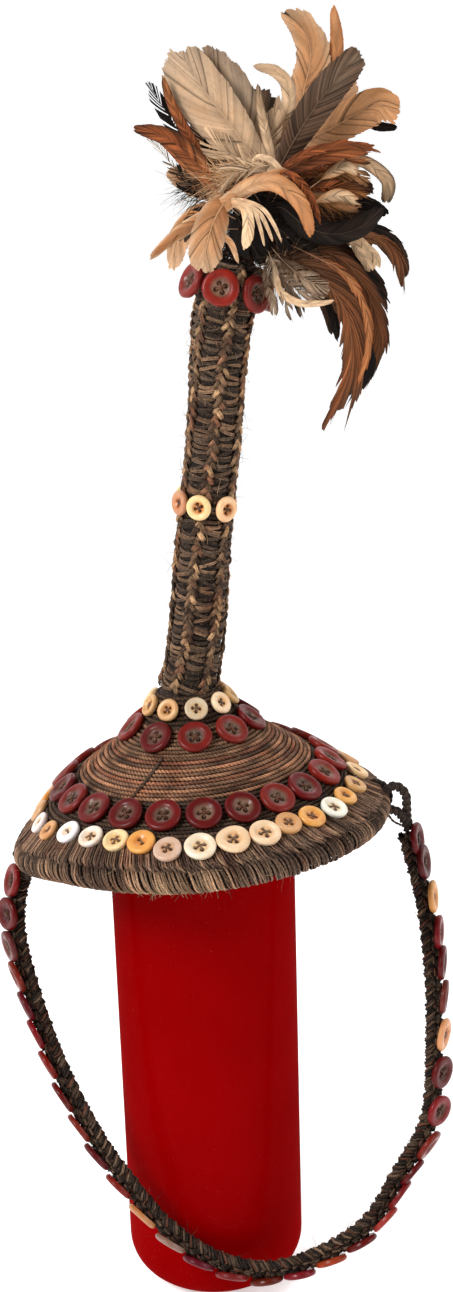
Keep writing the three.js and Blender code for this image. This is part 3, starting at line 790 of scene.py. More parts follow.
def addButton(skin, form, place, normal, spin, size, thickness, tones, rng):
    # tones are the body, the middle and the thread. A polar grid sinks into pits at the holes, darkened with
    # painted shade
    look = buttonForms[form]
    body, middle, thread = [linear(tone) for tone in tones]
    around = 28
    # the rows are even out to this share of the radius, and follow the profile past it
    evenTo = 0.46
    table = np.array(look["profile"], float)
    inside = np.linspace(0, evenTo, 11)
    lengths = measured(table * [1, 0.4])
    along = np.linspace(np.interp(evenTo, table[:4, 0], lengths[:4]), lengths[-1], 13)[1:]
    r = np.concatenate([inside, np.interp(along, lengths, table[:, 0])]) * size / 2
    middleH = np.interp(inside, table[:4, 0], table[:4, 1])
    h = np.concatenate([middleH, np.interp(along, lengths, table[:, 1])])
    turns = 2 * np.pi * np.arange(around) / around
    x = np.maximum(r, 0.01)[:, None] * np.cos(turns)
    y = np.maximum(r, 0.01)[:, None] * np.sin(turns)
    z = np.repeat(h[:, None] * thickness, around, 1)
    deep = np.zeros_like(z)
    holeTurns = np.pi / 4 + 2 * np.pi * np.arange(look["holes"]) / look["holes"]
    ring = look["holeRing"] * size / 2 * (1 if look["holes"] == 4 else 1.2)
    for turn in holeTurns:
        away = np.hypot(x - ring * np.cos(turn), y - ring * np.sin(turn)) / (look["holeRadius"] * size / 2)
        deep = np.maximum(deep, smooth(1.5 - away))
    z = z - deep * (z - 0.15 * thickness)
    lip = rng.normal(0, 0.012 * size, 3)
    wobble = 1 + (lip[0] * np.cos(turns) + lip[1] * np.sin(2 * turns) + lip[2] * np.cos(3 * turns)) / size
    local = np.stack([x * wobble, y * wobble, z], -1)
    base = local[-1:].copy()
    base[..., 2] = 0
    foot = base.copy()
    foot[..., :2] *= 0.05
    local = np.concatenate([local, base, foot])
    share = np.clip((np.concatenate([r, [size / 2] * 2]) / (size / 2) - 0.4) / 0.2, 0, 1)
    colours = blend(middle, body, np.repeat(share[:, None], around, 1))
    # painted shade: the pits at the holes are darkened towards near black, more where they are deeper
    dark = np.concatenate([deep, np.zeros((2, around))])
    colours = blend(colours, linear((20, 12, 8)), dark)
    up = np.asarray(normal, float)
    side = unit(np.cross([0.1, 1, 0.05], up))
    turned = side * math.cos(spin) + np.cross(up, side) * math.sin(spin)
    axes = np.stack([turned, np.cross(up, turned), up])
    skin.grid((local @ axes + place)[None, ::-1], colours[None, ::-1])
    height = np.interp(0.1, table[:4, 0], table[:4, 1]) * thickness
    addThread(skin, holeTurns, ring, height, thread, axes, place, size, rng)


def addThread(skin, holeTurns, ring, height, tone, axes, place, size, rng):
    # thread over the holes: crossed, or side by side through two
    pairs = [(0, 2), (1, 3)] if len(holeTurns) == 4 else [(0, 1)]
    strands = []
    for a, b in pairs:
        for aside in (-0.2, 0.2):
            t = np.linspace(0, 1, 8)
            ends = [np.array([ring * math.cos(holeTurns[k]), ring * math.sin(holeTurns[k])]) for k in (a, b)]
            flat = ends[0] * (1 - t[:, None]) + ends[1] * t[:, None]
            across = np.array([-(ends[1] - ends[0])[1], (ends[1] - ends[0])[0]]) / max(2 * ring, tiny)
            flat = flat + across * aside * 1.2 + rng.normal(0, 0.06, (8, 2))
            rise = height - 0.6 + 1.15 * np.sin(np.pi * t) ** 0.5
            strands.append(np.column_stack([flat, rise]))
    paths = np.array(strands) @ axes + place
    reach = np.full((len(strands), 8, 5), 0.02 * size)
    shade = tone * rng.uniform(0.6, 1.3, (len(strands), 1))
    sweep(skin, paths, axes[2], reach, shade)


redLook = {
    "thickness": 4.0,
    "rims": [(116, 28, 22), (104, 20, 18), (124, 34, 26), (92, 16, 14), (112, 36, 30), (134, 32, 20)],
    "middles": [(112, 88, 72), (98, 78, 66), (126, 96, 76), (104, 74, 62)],
    "thread": (96, 62, 40),
    "seed": 31,
}


def seatOf(node, outFrom):
    # the middle of a button's flat foot and its normal, from its solid
    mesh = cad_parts[node].data
    points = np.array([vertex.co for vertex in mesh.vertices], float) / mm
    middle = (points.min(0) + points.max(0)) / 2
    normal = np.linalg.svd(points - points.mean(0))[2][2]
    normal = normal * np.sign(normal @ (middle - outFrom))
    heights = points @ normal
    foot = points[heights < heights.min() + 0.1].mean(0)
    return foot, normal


def makeRedButtons(look):
    rng = np.random.default_rng(look["seed"])
    hatMiddle = np.array([0, 0, 300.0])
    # names, how many, size, and a place that they face away from
    groups = [
        ("brim_button_%02d", 21, 22.4, hatMiddle),
        ("crown_button_%02d", 9, 21.6, hatMiddle),
        ("stem_button_%02d", 6, 22.4, np.array([27.5, 0, 640.0])),
    ]
    for pattern, count, size, outFrom in groups:
        for k in range(count):
            node = pattern % (k + 1)
            place, normal = seatOf(node, outFrom)
            skin = Skin()
            tones = [look["rims"][rng.integers(6)], look["middles"][rng.integers(4)], look["thread"]]
            spin = rng.uniform(0, 1.6)
            addButton(skin, "sewThrough", place, normal, spin, size, look["thickness"], tones, rng)
            name = "red_" + node
            addPiece(name, skin.mesh(name), redHorn, [node])


ivory = (238, 226, 200)
cream = (236, 208, 160)
tan = (206, 160, 104)
amber = (226, 162, 84)
greyIvory = (204, 180, 150)
whiteBone = (244, 240, 230)

boneLook = {
    "thickness": 3.6,
    "radius": 99.8,
    "seat": 1.5,
    "thread": (110, 78, 52),
    "rows": [0, 4, 14, 23, 33],
    # angle, size, how much further out, form and tone
    "front": [
        (-179, 16, 0, "domed", tan), (-165, 14.5, 1, "fishEye", whiteBone), (-152.5, 14.5, 2, "domed", tan),
        (-140.5, 16.3, 0, "fishEye", whiteBone), (-129, 16, 0, "rimmed", ivory),
        (-118.5, 16.3, 0, "rimmed", cream),
        (-109, 17.6, 0, "fishEye", amber), (-99.5, 17.3, 5, "flat", greyIvory),
        (-89, 19.5, 4, "rimmed", ivory),
        (-78, 20.6, 2, "domed", cream), (-67, 19.2, 2, "rimmed", cream), (-57.5, 16.4, 0, "flat", tan),
        (-47.5, 17.2, 1, "domed", amber), (-36.5, 17.2, 2, "rimmed", whiteBone),
        (-26, 15.2, 0, "domed", amber),
        (-14, 15, 0, "flat", tan), (2, 16.5, 0, "rimmed", cream), (16, 16.5, 0, "domed", tan),
    ],
    "back": {"count": 15, "size": 16.3, "from": 27, "step": 10.2},
    "seed": 41,
}


def toneNear(tone, rng, change=12):
    return np.clip(np.array(tone) + rng.normal(0, change, 3) * [0.5, 0.8, 1], 0, 255)


def boneTones(tone, thread, rng):
    body = toneNear(tone, rng, 6)
    return [body, body * np.array([0.95, 0.86, 0.74]), thread]


def makeBoneRows(look):
    rng = np.random.default_rng(look["seed"])
    kinds = [("domed", cream), ("rimmed", ivory), ("flat", tan), ("rimmed", cream), ("fishEye", amber)]
    back = look["back"]
    allBones = list(look["front"])
    for k in range(back["count"]):
        allBones.append((back["from"] + k * back["step"], back["size"], 0, *kinds[rng.integers(5)]))
    for row in range(4):
        skin = Skin()
        buttons = allBones[look["rows"][row] : look["rows"][row + 1]]
        cordPoints = []
        for angle, size, out, form, tone in buttons:
            place, normal = onCap(angle, look["radius"] + out, look["seat"], size / 2.4)
            addButton(skin, form, place, normal, rng.uniform(0, 1.6), size, look["thickness"],
                      boneTones(tone, look["thread"], rng), rng)
            cordPoints.append(place)
        if len(cordPoints) > 1:
            plied(skin, spread(splined(cordPoints), 12 * len(cordPoints)), np.array([0, 0, 1.0]), 1.1, 4,
                  linear((90, 66, 48)), rng)
        name = "sewn_row_%d" % (row + 1)
        addPiece(name, skin.mesh(name), bone, ["bone_row_%d" % (row + 1)])


footLook = {
    "radius": 23.4,
    "first": -120,
    "size": 14.6,
    "thickness": 3.6,
    "thread": (96, 66, 44),
    "looks": [
        ("domed", tan), ("flat", greyIvory), ("domed", cream), ("rimmed", tan), ("domed", tan),
        ("flat", cream),
        ("rimmed", ivory), ("domed", cream), ("rimmed", tan),
    ],
    "seed": 45,
}


def makeFootRing(look):
    rng = np.random.default_rng(look["seed"])
    skin = Skin()
    for k, (form, tone) in enumerate(look["looks"]):
        angle = look["first"] + k * 360 / len(look["looks"])
        place, normal = onCap(angle, look["radius"], 1.5, look["size"] / 2.4)
        addButton(skin, form, place, normal, rng.uniform(0, 1.6), look["size"], look["thickness"],
                  boneTones(tone, look["thread"], rng), rng)
    addPiece("foot_ring", skin.mesh("foot_ring"), bone, ["stem_foot_ring"])


makeRedButtons(redLook)
makeBoneRows(boneLook)
makeFootRing(footLook)
print("stage: buttons made")


# the stem

stemLook = {
    "line": [(0.6, 433), (8.5, 505), (17, 568.6), (21.5, 617), (26.5, 648), (31, 668)],
    "foot": (0, 0, 84.8),
    "radius": 16,
    "footRadius": 17.6,
    "topRadius": 17.8,
    "flare": 14,
    "coreSink": 0.5,
    "coreShadeTone": (30, 22, 17),
    "ribs": 6,
    "turn": 50,
    "chainStep": 4.9,
    "rungStep": 2.5,
    "tones": [(150, 116, 86), (112, 86, 64), (190, 150, 110), (92, 70, 54), (140, 98, 72)],
    "rungTones": [(100, 80, 64), (64, 50, 40), (140, 108, 82)],
    "linkLength": 7.2,
    "wisps": (8, 0.17, 0.7, [(172, 140, 104), (104, 80, 60), (54, 41, 33)]),
    "wispCount": 500,
    "seed": 51,
}

stemFoot = toWorld(np.array(stemLook["foot"], float))
stemCurve = splined([stemFoot] + [(x, 0, z) for x, z in stemLook["line"]], 60)
stemLength = measured(stemCurve)[-1]


def stemFrame(share):
    share = np.asarray(share, float)
    middle = atShares(stemCurve, share.ravel()).reshape(share.shape + (3,))
    ahead = atShares(stemCurve, np.minimum(share + 0.004, 1).ravel()).reshape(share.shape + (3,))
    behind = atShares(stemCurve, np.maximum(share - 0.004, 0).ravel()).reshape(share.shape + (3,))
    along = unit(ahead - behind)
    right = np.stack([along[..., 2], 0 * along[..., 1], -along[..., 0]], -1)
    return middle, along, right


def onStem(share, angle, height=0.0):
    # a point round the stem: angle in degrees, height over its radius there
    share, angle = np.broadcast_arrays(np.asarray(share, float), np.asarray(angle, float))
    middle, along, right = stemFrame(share)
    foot = np.clip(1 - share * stemLength / stemLook["flare"], 0, 1)
    head = np.clip((share - 0.75) / 0.25, 0, 1)
    radius = stemLook["radius"] + (stemLook["footRadius"] - stemLook["radius"]) * foot
    radius = radius + (stemLook["topRadius"] - stemLook["radius"]) * head
    turn = np.radians(angle)[..., None]
    out = right * np.cos(turn) + np.array([0, 1, 0]) * np.sin(turn)
    return middle + out * (radius + height)[..., None], out, along


def makeStem(look):
    rng = np.random.default_rng(look["seed"])
    skin = Skin()
    shares = np.linspace(0, 1, 70)
    angles = np.arange(0, 360, 10.0)
    core = onStem(shares[:, None], angles[None], -look["coreSink"])[0]
    # the core is near black: painted shade seen in the gaps between the ribs and rungs
    coreShadeTone = linear(look["coreShadeTone"])
    skin.grid(core[None], coreShadeTone)
    top = np.stack([core[-1], 0.02 * core[-1] + 0.98 * core[-1].mean(0)])
    skin.grid(top[None], coreShadeTone)
    ribs = look["ribs"]
    # rungs: short sagging strands between the ribs, their undersides darkened with painted shade
    rungCount = int(stemLength / look["rungStep"])
    t = np.linspace(0, 1, 5)
    for rib in range(ribs):
        share = (np.arange(rungCount) + 0.5 + rng.normal(0, 0.28, rungCount)) / rungCount
        start = rib * 360 / ribs + 9
        angle = start + look["turn"] * share[:, None] + (360 / ribs - 18) * t[None]
        sag = 0.0045 * np.sin(np.pi * t)[None] * rng.uniform(-0.2, 1, (rungCount, 1))
        tilt = rng.normal(0, 0.009, (rungCount, 1)) * (t[None] - 0.5)
        height = -0.6 + 0.9 * np.sin(np.pi * t)[None] + rng.normal(0, 0.35, (rungCount, 1))
        paths, ups, _ = onStem(np.clip(share[:, None] - sag + tilt, 0.002, 0.998), angle, height)
        tones = anyTones(look["rungTones"], rungCount, rng, 0.5, 1.4)
        for strand in (-0.5, 0.5):
            shift = framed(paths, ups)[1] * strand
            thick = np.ones((rungCount, 5, 4)) * rng.uniform(0.5, 0.85, (rungCount, 1, 1))
            shade = tones * rng.uniform(0.7, 1.2, (rungCount, 1))
            sweep(skin, paths + shift, ups, thick, shade, 0.4, False, 1.0, 0.85)
    # ribs: a chain of paired leaf-shaped strands, crossing like a plait, each link darkened with painted
    # shade towards its ends where it dives under the next
    linkCount = int(stemLength / look["chainStep"])
    t = np.linspace(0, 1, 6)
    for rib in range(ribs):
        for side in (-1, 1):
            share = (np.arange(linkCount) + (0.25 if side > 0 else 0.75)) / linkCount
            reach = look["linkLength"] / stemLength
            middle = rib * 360 / ribs + look["turn"] * share[:, None]
            swing = side * (10.5 - 14 * t[None]) + rng.normal(0, 2.2, (linkCount, 1))
            height = 0.3 + 1.3 * np.sin(np.pi * t)[None] + rng.normal(0, 0.35, (linkCount, 1))
            stretch = rng.uniform(0.75, 1.25, (linkCount, 1))
            places = np.clip(share[:, None] + reach * stretch * (t[None] - 0.5), 0.001, 0.999)
            paths, ups, _ = onStem(places, middle + swing, height)
            leaf = np.sqrt(np.clip(1 - (2 * t - 1) ** 4, 0.03, 1))[None, :, None]
            tones = anyTones(look["tones"], linkCount, rng, 0.55, 1.45)
            for strand in (-1, 0, 1):
                shift = framed(paths, ups)[1] * strand * 0.85 - ups * 0.35 * abs(strand)
                shade = tones * rng.uniform(0.6, 1.3, (linkCount, 1))
                thick = rng.uniform(0.62, 0.95, (linkCount, 1, 1)) * leaf * np.ones((1, 1, 4))
                # painted shade: darker towards the link's ends
                shade = shade[:, None] * (0.35 + 0.75 * np.sin(np.pi * t))[None, :, None]
                sweep(skin, paths + shift, ups, thick, shade, 0.4, False, 1.0, 0.85)
    count = look["wispCount"]
    place, out, along = onStem(rng.uniform(0.02, 0.98, count), rng.uniform(0, 360, count), 0.5)
    addWisps(skin, place, out, along, look["wisps"], rng)
    addPiece("knotted_stem", skin.mesh("knotted_stem"), stemFibre, ["stem"])


waistLook = {
    "height": 524,
    "size": 15.6,
    "thickness": 3.8,
    "thread": (84, 52, 32),
    "middle": (206, 122, 62),
    "buttons": [
        (-150, "domed", (190, 134, 90)), (-105, "domed", (236, 204, 156)), (-52, "domed", (236, 198, 148)),
        (52, "domed", (214, 160, 104)), (96, "rimmed", tan), (140, "domed", cream),
    ],
    "seed": 57,
}


def shareAtHeight(height):
    shares = np.linspace(0, 1, 400)
    return float(np.interp(height, atShares(stemCurve, shares)[:, 2], shares))


def makeWaistRing(look):
    rng = np.random.default_rng(look["seed"])
    skin = Skin()
    share = shareAtHeight(look["height"])
    for angle, form, tone in look["buttons"]:
        place, out, _ = onStem(share, float(angle), np.array(1.5))
        body, middle, thread = boneTones(tone, look["thread"], rng)
        addButton(skin, form, place, out, rng.uniform(0, 1.6), look["size"], look["thickness"],
                  [body, blend(middle, look["middle"], 0.6), thread], rng)
    path, ups, _ = onStem(np.full(60, share), np.arange(0, 360, 6.0), np.full(60, 1.6))
    plied(skin, path, ups, 1.1, 4, linear((84, 62, 46)), rng, True)
    addPiece("waist_ring", skin.mesh("waist_ring"), bone, ["stem_waist_ring"])


makeStem(stemLook)
makeWaistRing(waistLook)
print("stage: stem made")


# the chin strap

strapLook = {
    "route": [
        (-114, -2, 290.4), (-119.5, -12, 270), (-119, -20, 247), (-106, -33, 198), (-92, -43, 161),
        (-73, -52, 123),
        (-54, -60, 96), (-31, -67, 68), (1, -71, 45), (34, -72, 37), (68, -70, 46), (99, -66, 65),
        (119, -60, 95),
        (139, -51, 128), (144, -40, 172), (145, -28, 218), (141, -13, 263), (131, -2, 305),
    ],
    "across": 3.5,
    "deep": 2.1,
    "coreRadius": 2.1,
    "yarns": 7,
    "yarnRadius": 0.85,
    "yarnRing": 2.1,
    "yarnPitch": 15,
    "plaitPitch": 22,
    "tones": [(96, 76, 60), (62, 48, 38), (120, 94, 74), (44, 33, 26), (112, 66, 48)],
    "wisps": (8, 0.15, 0.6, [(120, 96, 74), (60, 46, 37), (36, 27, 22)]),
    "wispCount": 700,
    "wispSeat": 4.6,
    "loopMiddle": (14, -30, 200),
    "buttonSize": 22,
    "buttonThickness": 3.6,
    "thread": (84, 56, 38),
    "seat": 4.9,
    "lean": 0.14,
    "seed": 61,
    # share of the strap's length, turn towards the front in degrees, and tone
    "buttons": [
        (0.015, 22, "red"), (0.045, 33, "dark"), (0.074, 20, "brown"), (0.103, 14, "red"),
        (0.133, 12, "dark"),
        (0.161, 10, "red"), (0.192, 12, "red"), (0.226, 9, "dark"), (0.259, 11, "red"), (0.291, 9, "dark"),
        (0.326, 10, "red"), (0.362, 12, "tanEdge"), (0.398, 10, "greyBrown"), (0.43, 9, "dark"),
        (0.462, 11, "red"),
        (0.494, 9, "dark"), (0.524, 10, "red"), (0.556, 12, "orange"), (0.588, 10, "dark"),
        (0.618, 12, "orange"),
        (0.645, 12, "red"), (0.67, 13, "dark"), (0.70, 20, "red"), (0.733, 40, "red"), (0.769, 37, "dark"),
        (0.805, 20, "tan"), (0.841, 10, "brown"), (0.873, 11, "dark"), (0.902, 12, "red"),
        (0.936, 15, "tan"),
        (0.97, 21, "dark"), (0.993, 21, "dark"),
    ],
    # rim and middle
    "buttonTones": {
        "red": ((122, 28, 22), (96, 54, 42)),
        "dark": ((90, 17, 15), (74, 38, 30)),
        "brown": ((104, 54, 38), (84, 60, 46)),
        "orange": ((158, 60, 34), (120, 66, 44)),
        "greyBrown": ((132, 102, 82), (104, 78, 62)),
        "tanEdge": ((176, 124, 74), (150, 96, 60)),
        "tan": ((214, 158, 98), (196, 128, 78)),
    },
}

strapCurve = splined(strapLook["route"], 60)
strapLength = measured(strapCurve)[-1]


def strapFrame(shares):
    shares = np.atleast_1d(shares)
    place = atShares(strapCurve, shares)
    along = unit(atShares(strapCurve, shares + 0.002) - atShares(strapCurve, shares - 0.002))
    out = place - np.array(strapLook["loopMiddle"], float)
    out = unit(out - (out * along).sum(-1, keepdims=True) * along)
    return place, along, out


def yarned(skin, path, out, look, rng):
    # one thick strand: a near-black core with yarns wound round it. The core is partly the strap's dark
    # fibre and partly painted shade in the gaps between yarns, and the yarns' undersides carry painted shade
    rows = len(path)
    core = np.full((1, rows, 4), look["coreRadius"])
    sweep(skin, path, out[None], core, linear((24, 17, 13))[None])
    across, up = framed(path, out)[1:]
    turn = 2 * np.pi * measured(path) / look["yarnPitch"]
    yarns = look["yarns"]
    ring = look["yarnRing"] + np.zeros(rows)
    for k in range(yarns):
        spin = turn + 2 * np.pi * k / yarns + rng.normal(0, 0.15)
        bends = np.arange(0, rows + 8, 8)
        wave = np.interp(np.arange(rows), bends, rng.normal(0, 0.22, len(bends)))
        reach = (ring + wave)[:, None]
        yarn = path + reach * (across * np.cos(spin)[:, None] + up * np.sin(spin)[:, None])
        fade = rng.normal(1, 0.28, rows // 7 + 2)
        fade = np.clip(np.interp(np.arange(rows) / 7, np.arange(len(fade)), fade), 0.4, 1.7)
        tone = linear(look["tones"][rng.integers(len(look["tones"]))]) * fade[:, None]
        thick = look["yarnRadius"] * rng.uniform(0.8, 1.15) * np.ones((1, rows, 5))
        away = unit(yarn - path)
        sweep(skin, yarn, away[None], thick, tone[None], 0.3, False, 1.0, 0.85)


def makeStrap(look):
    # three strands cross over and under each other
    rng = np.random.default_rng(look["seed"])
    skin = Skin()
    rows = int(strapLength / 1.85)
    shares = np.linspace(0, 1, rows)
    place, along, out = strapFrame(shares)
    across = np.cross(along, out)
    phase = 2 * np.pi * shares * strapLength / look["plaitPitch"]
    for strand in range(3):
        lag = phase + strand * 2 * np.pi / 3
        aside = out * (look["across"] * np.sin(lag))[:, None]
        aside = aside + across * (look["deep"] * np.sin(2 * lag))[:, None]
        yarned(skin, place + aside, out, look, rng)
    count = look["wispCount"]
    shares = rng.uniform(0, 1, count)
    place, along, out = strapFrame(shares)
    spin = rng.uniform(0, 2 * np.pi, (count, 1))
    away = out * np.cos(spin) + np.cross(along, out) * np.sin(spin)
    addWisps(skin, place + away * look["wispSeat"], away, along, look["wisps"], rng)
    nodes = ["strap_%02d" % (k + 1) for k in range(8)]
    addPiece("chin_strap", skin.mesh("chin_strap"), plaitFibre, nodes)


def makeStrapButtons(look):
    # buttons overlap like scales along the strap's outer side
    rng = np.random.default_rng(look["seed"] + 1)
    red = Skin()
    pale = Skin()
    for share, turn, kind in look["buttons"]:
        place, along, out = [part[0] for part in strapFrame(share)]
        front = np.array([0, -1.0, 0])
        front = front - (front @ along) * along
        front = unit(front - (front @ out) * out)
        turn = math.radians(turn)
        normal = out * math.cos(turn) + front * math.sin(turn)
        lean = unit(normal + along * look["lean"] * (1 if share < 0.5 else -1))
        rim, middle = look["buttonTones"][kind]
        tones = [toneNear(rim, rng, 7), toneNear(middle, rng, 7), look["thread"]]
        size = look["buttonSize"] * rng.uniform(0.95, 1.03)
        isPale = kind.startswith("tan") or kind == "greyBrown"
        form = "domed" if isPale else "sewThrough"
        seat = place + normal * look["seat"]
        skin = pale if isPale else red
        addButton(skin, form, seat, lean, rng.uniform(0, 1.6), size, look["buttonThickness"], tones, rng)
    addPiece("strap_buttons_red", red.mesh("strap_buttons_red"), redHorn)
    addPiece("strap_buttons_pale", pale.mesh("strap_buttons_pale"), bone)


tieLook = {
    "left": [(-118.0, -6.0, 304.1), (-115.0, -9.0, 297.0), (-110.1, -10.0, 291.7), (-105.2, -7.0, 293.1),
        (-107.9, -2.0, 297.4), (-114.3, -3.0, 296.0), (-115.5, -8.0, 290.5), (-110.4, -10.0, 286.3)],
    "rightOuter": [(114.6, -4.0, 325.0), (115.7, -3.0, 331.3), (119.1, -2.0, 335.2), (123.6, -1.0, 337.1),
        (128.4, -1.0, 334.9), (131.2, -1.0, 330.1), (131.5, -1.0, 323.3), (131.6, -2.0, 315.5),
        (132.8, -3.0, 309.1)],
    "rightInner": [(112.2, -7.0, 329.5), (116.5, -8.0, 326.0), (121.0, -8.0, 323.9), (125.5, -7.0, 321.6),
        (128.7, -6.0, 317.1), (132.0, -4.0, 308.8)],
    "lace": [(116.3, -11.0, 329.5), (118.1, -12.0, 323.7), (121.9, -11.0, 317.2), (127.1, -9.0, 313.5)],
    "tones": [(58, 44, 36), (42, 31, 25), (74, 58, 46)],
    "seed": 63,
}


def makeTies(look):
    # a knot under the brim on the left, and a loop of two thick cords on the right
    rng = np.random.default_rng(look["seed"])
    tones = linear(look["tones"])
    skin = Skin()
    facing = np.array([0, -1.0, 0])
    plied(skin, spread(splined(look["left"]), 90), facing, 2.6, 8, tones[0], rng, fleck=0.35)
    turns = np.linspace(-170, -10, 24)
    path, normal = onRoll(np.full(24, 181.0), turns, np.full(24, 2.0))
    plied(skin, path, normal, 2.0, 6, tones[1], rng)
    addPiece("tie_left", skin.mesh("tie_left"), plaitFibre, ["strap_tie_left"])
    skin = Skin()
    for name, radius, tone in (("rightOuter", 3.4, 1), ("rightInner", 3.3, 0), ("lace", 0.9, 2)):
        plied(skin, spread(splined(look[name]), 90), facing, radius, 8, tones[tone], rng, fleck=0.35)
    path, normal = onRoll(np.full(24, 2.0), np.linspace(-60, 110, 24), np.full(24, 2.2))
    plied(skin, path, normal, 2.2, 6, tones[1], rng)
    addPiece("tie_right", skin.mesh("tie_right"), plaitFibre, ["strap_tie_right"])


makeStrap(strapLook)
makeStrapButtons(strapLook)
makeTies(tieLook)
print("stage: chin strap made")


# the plume

beige = (190, 156, 124)
greyBeige = (166, 142, 118)
greyTip = (128, 108, 90)
darkBrown = (64, 43, 30)
bladeBrown = (84, 63, 48)
bladeTip = (102, 84, 68)
nearBlack = (17, 11, 8)
dullBlack = (34, 24, 18)
tanOrange = (186, 134, 92)
orangeBrown = (160, 100, 58)
rust = (128, 68, 36)
goldBrown = (150, 100, 58)
creamBarb = (210, 176, 140)
sickleBrown = (112, 66, 38)

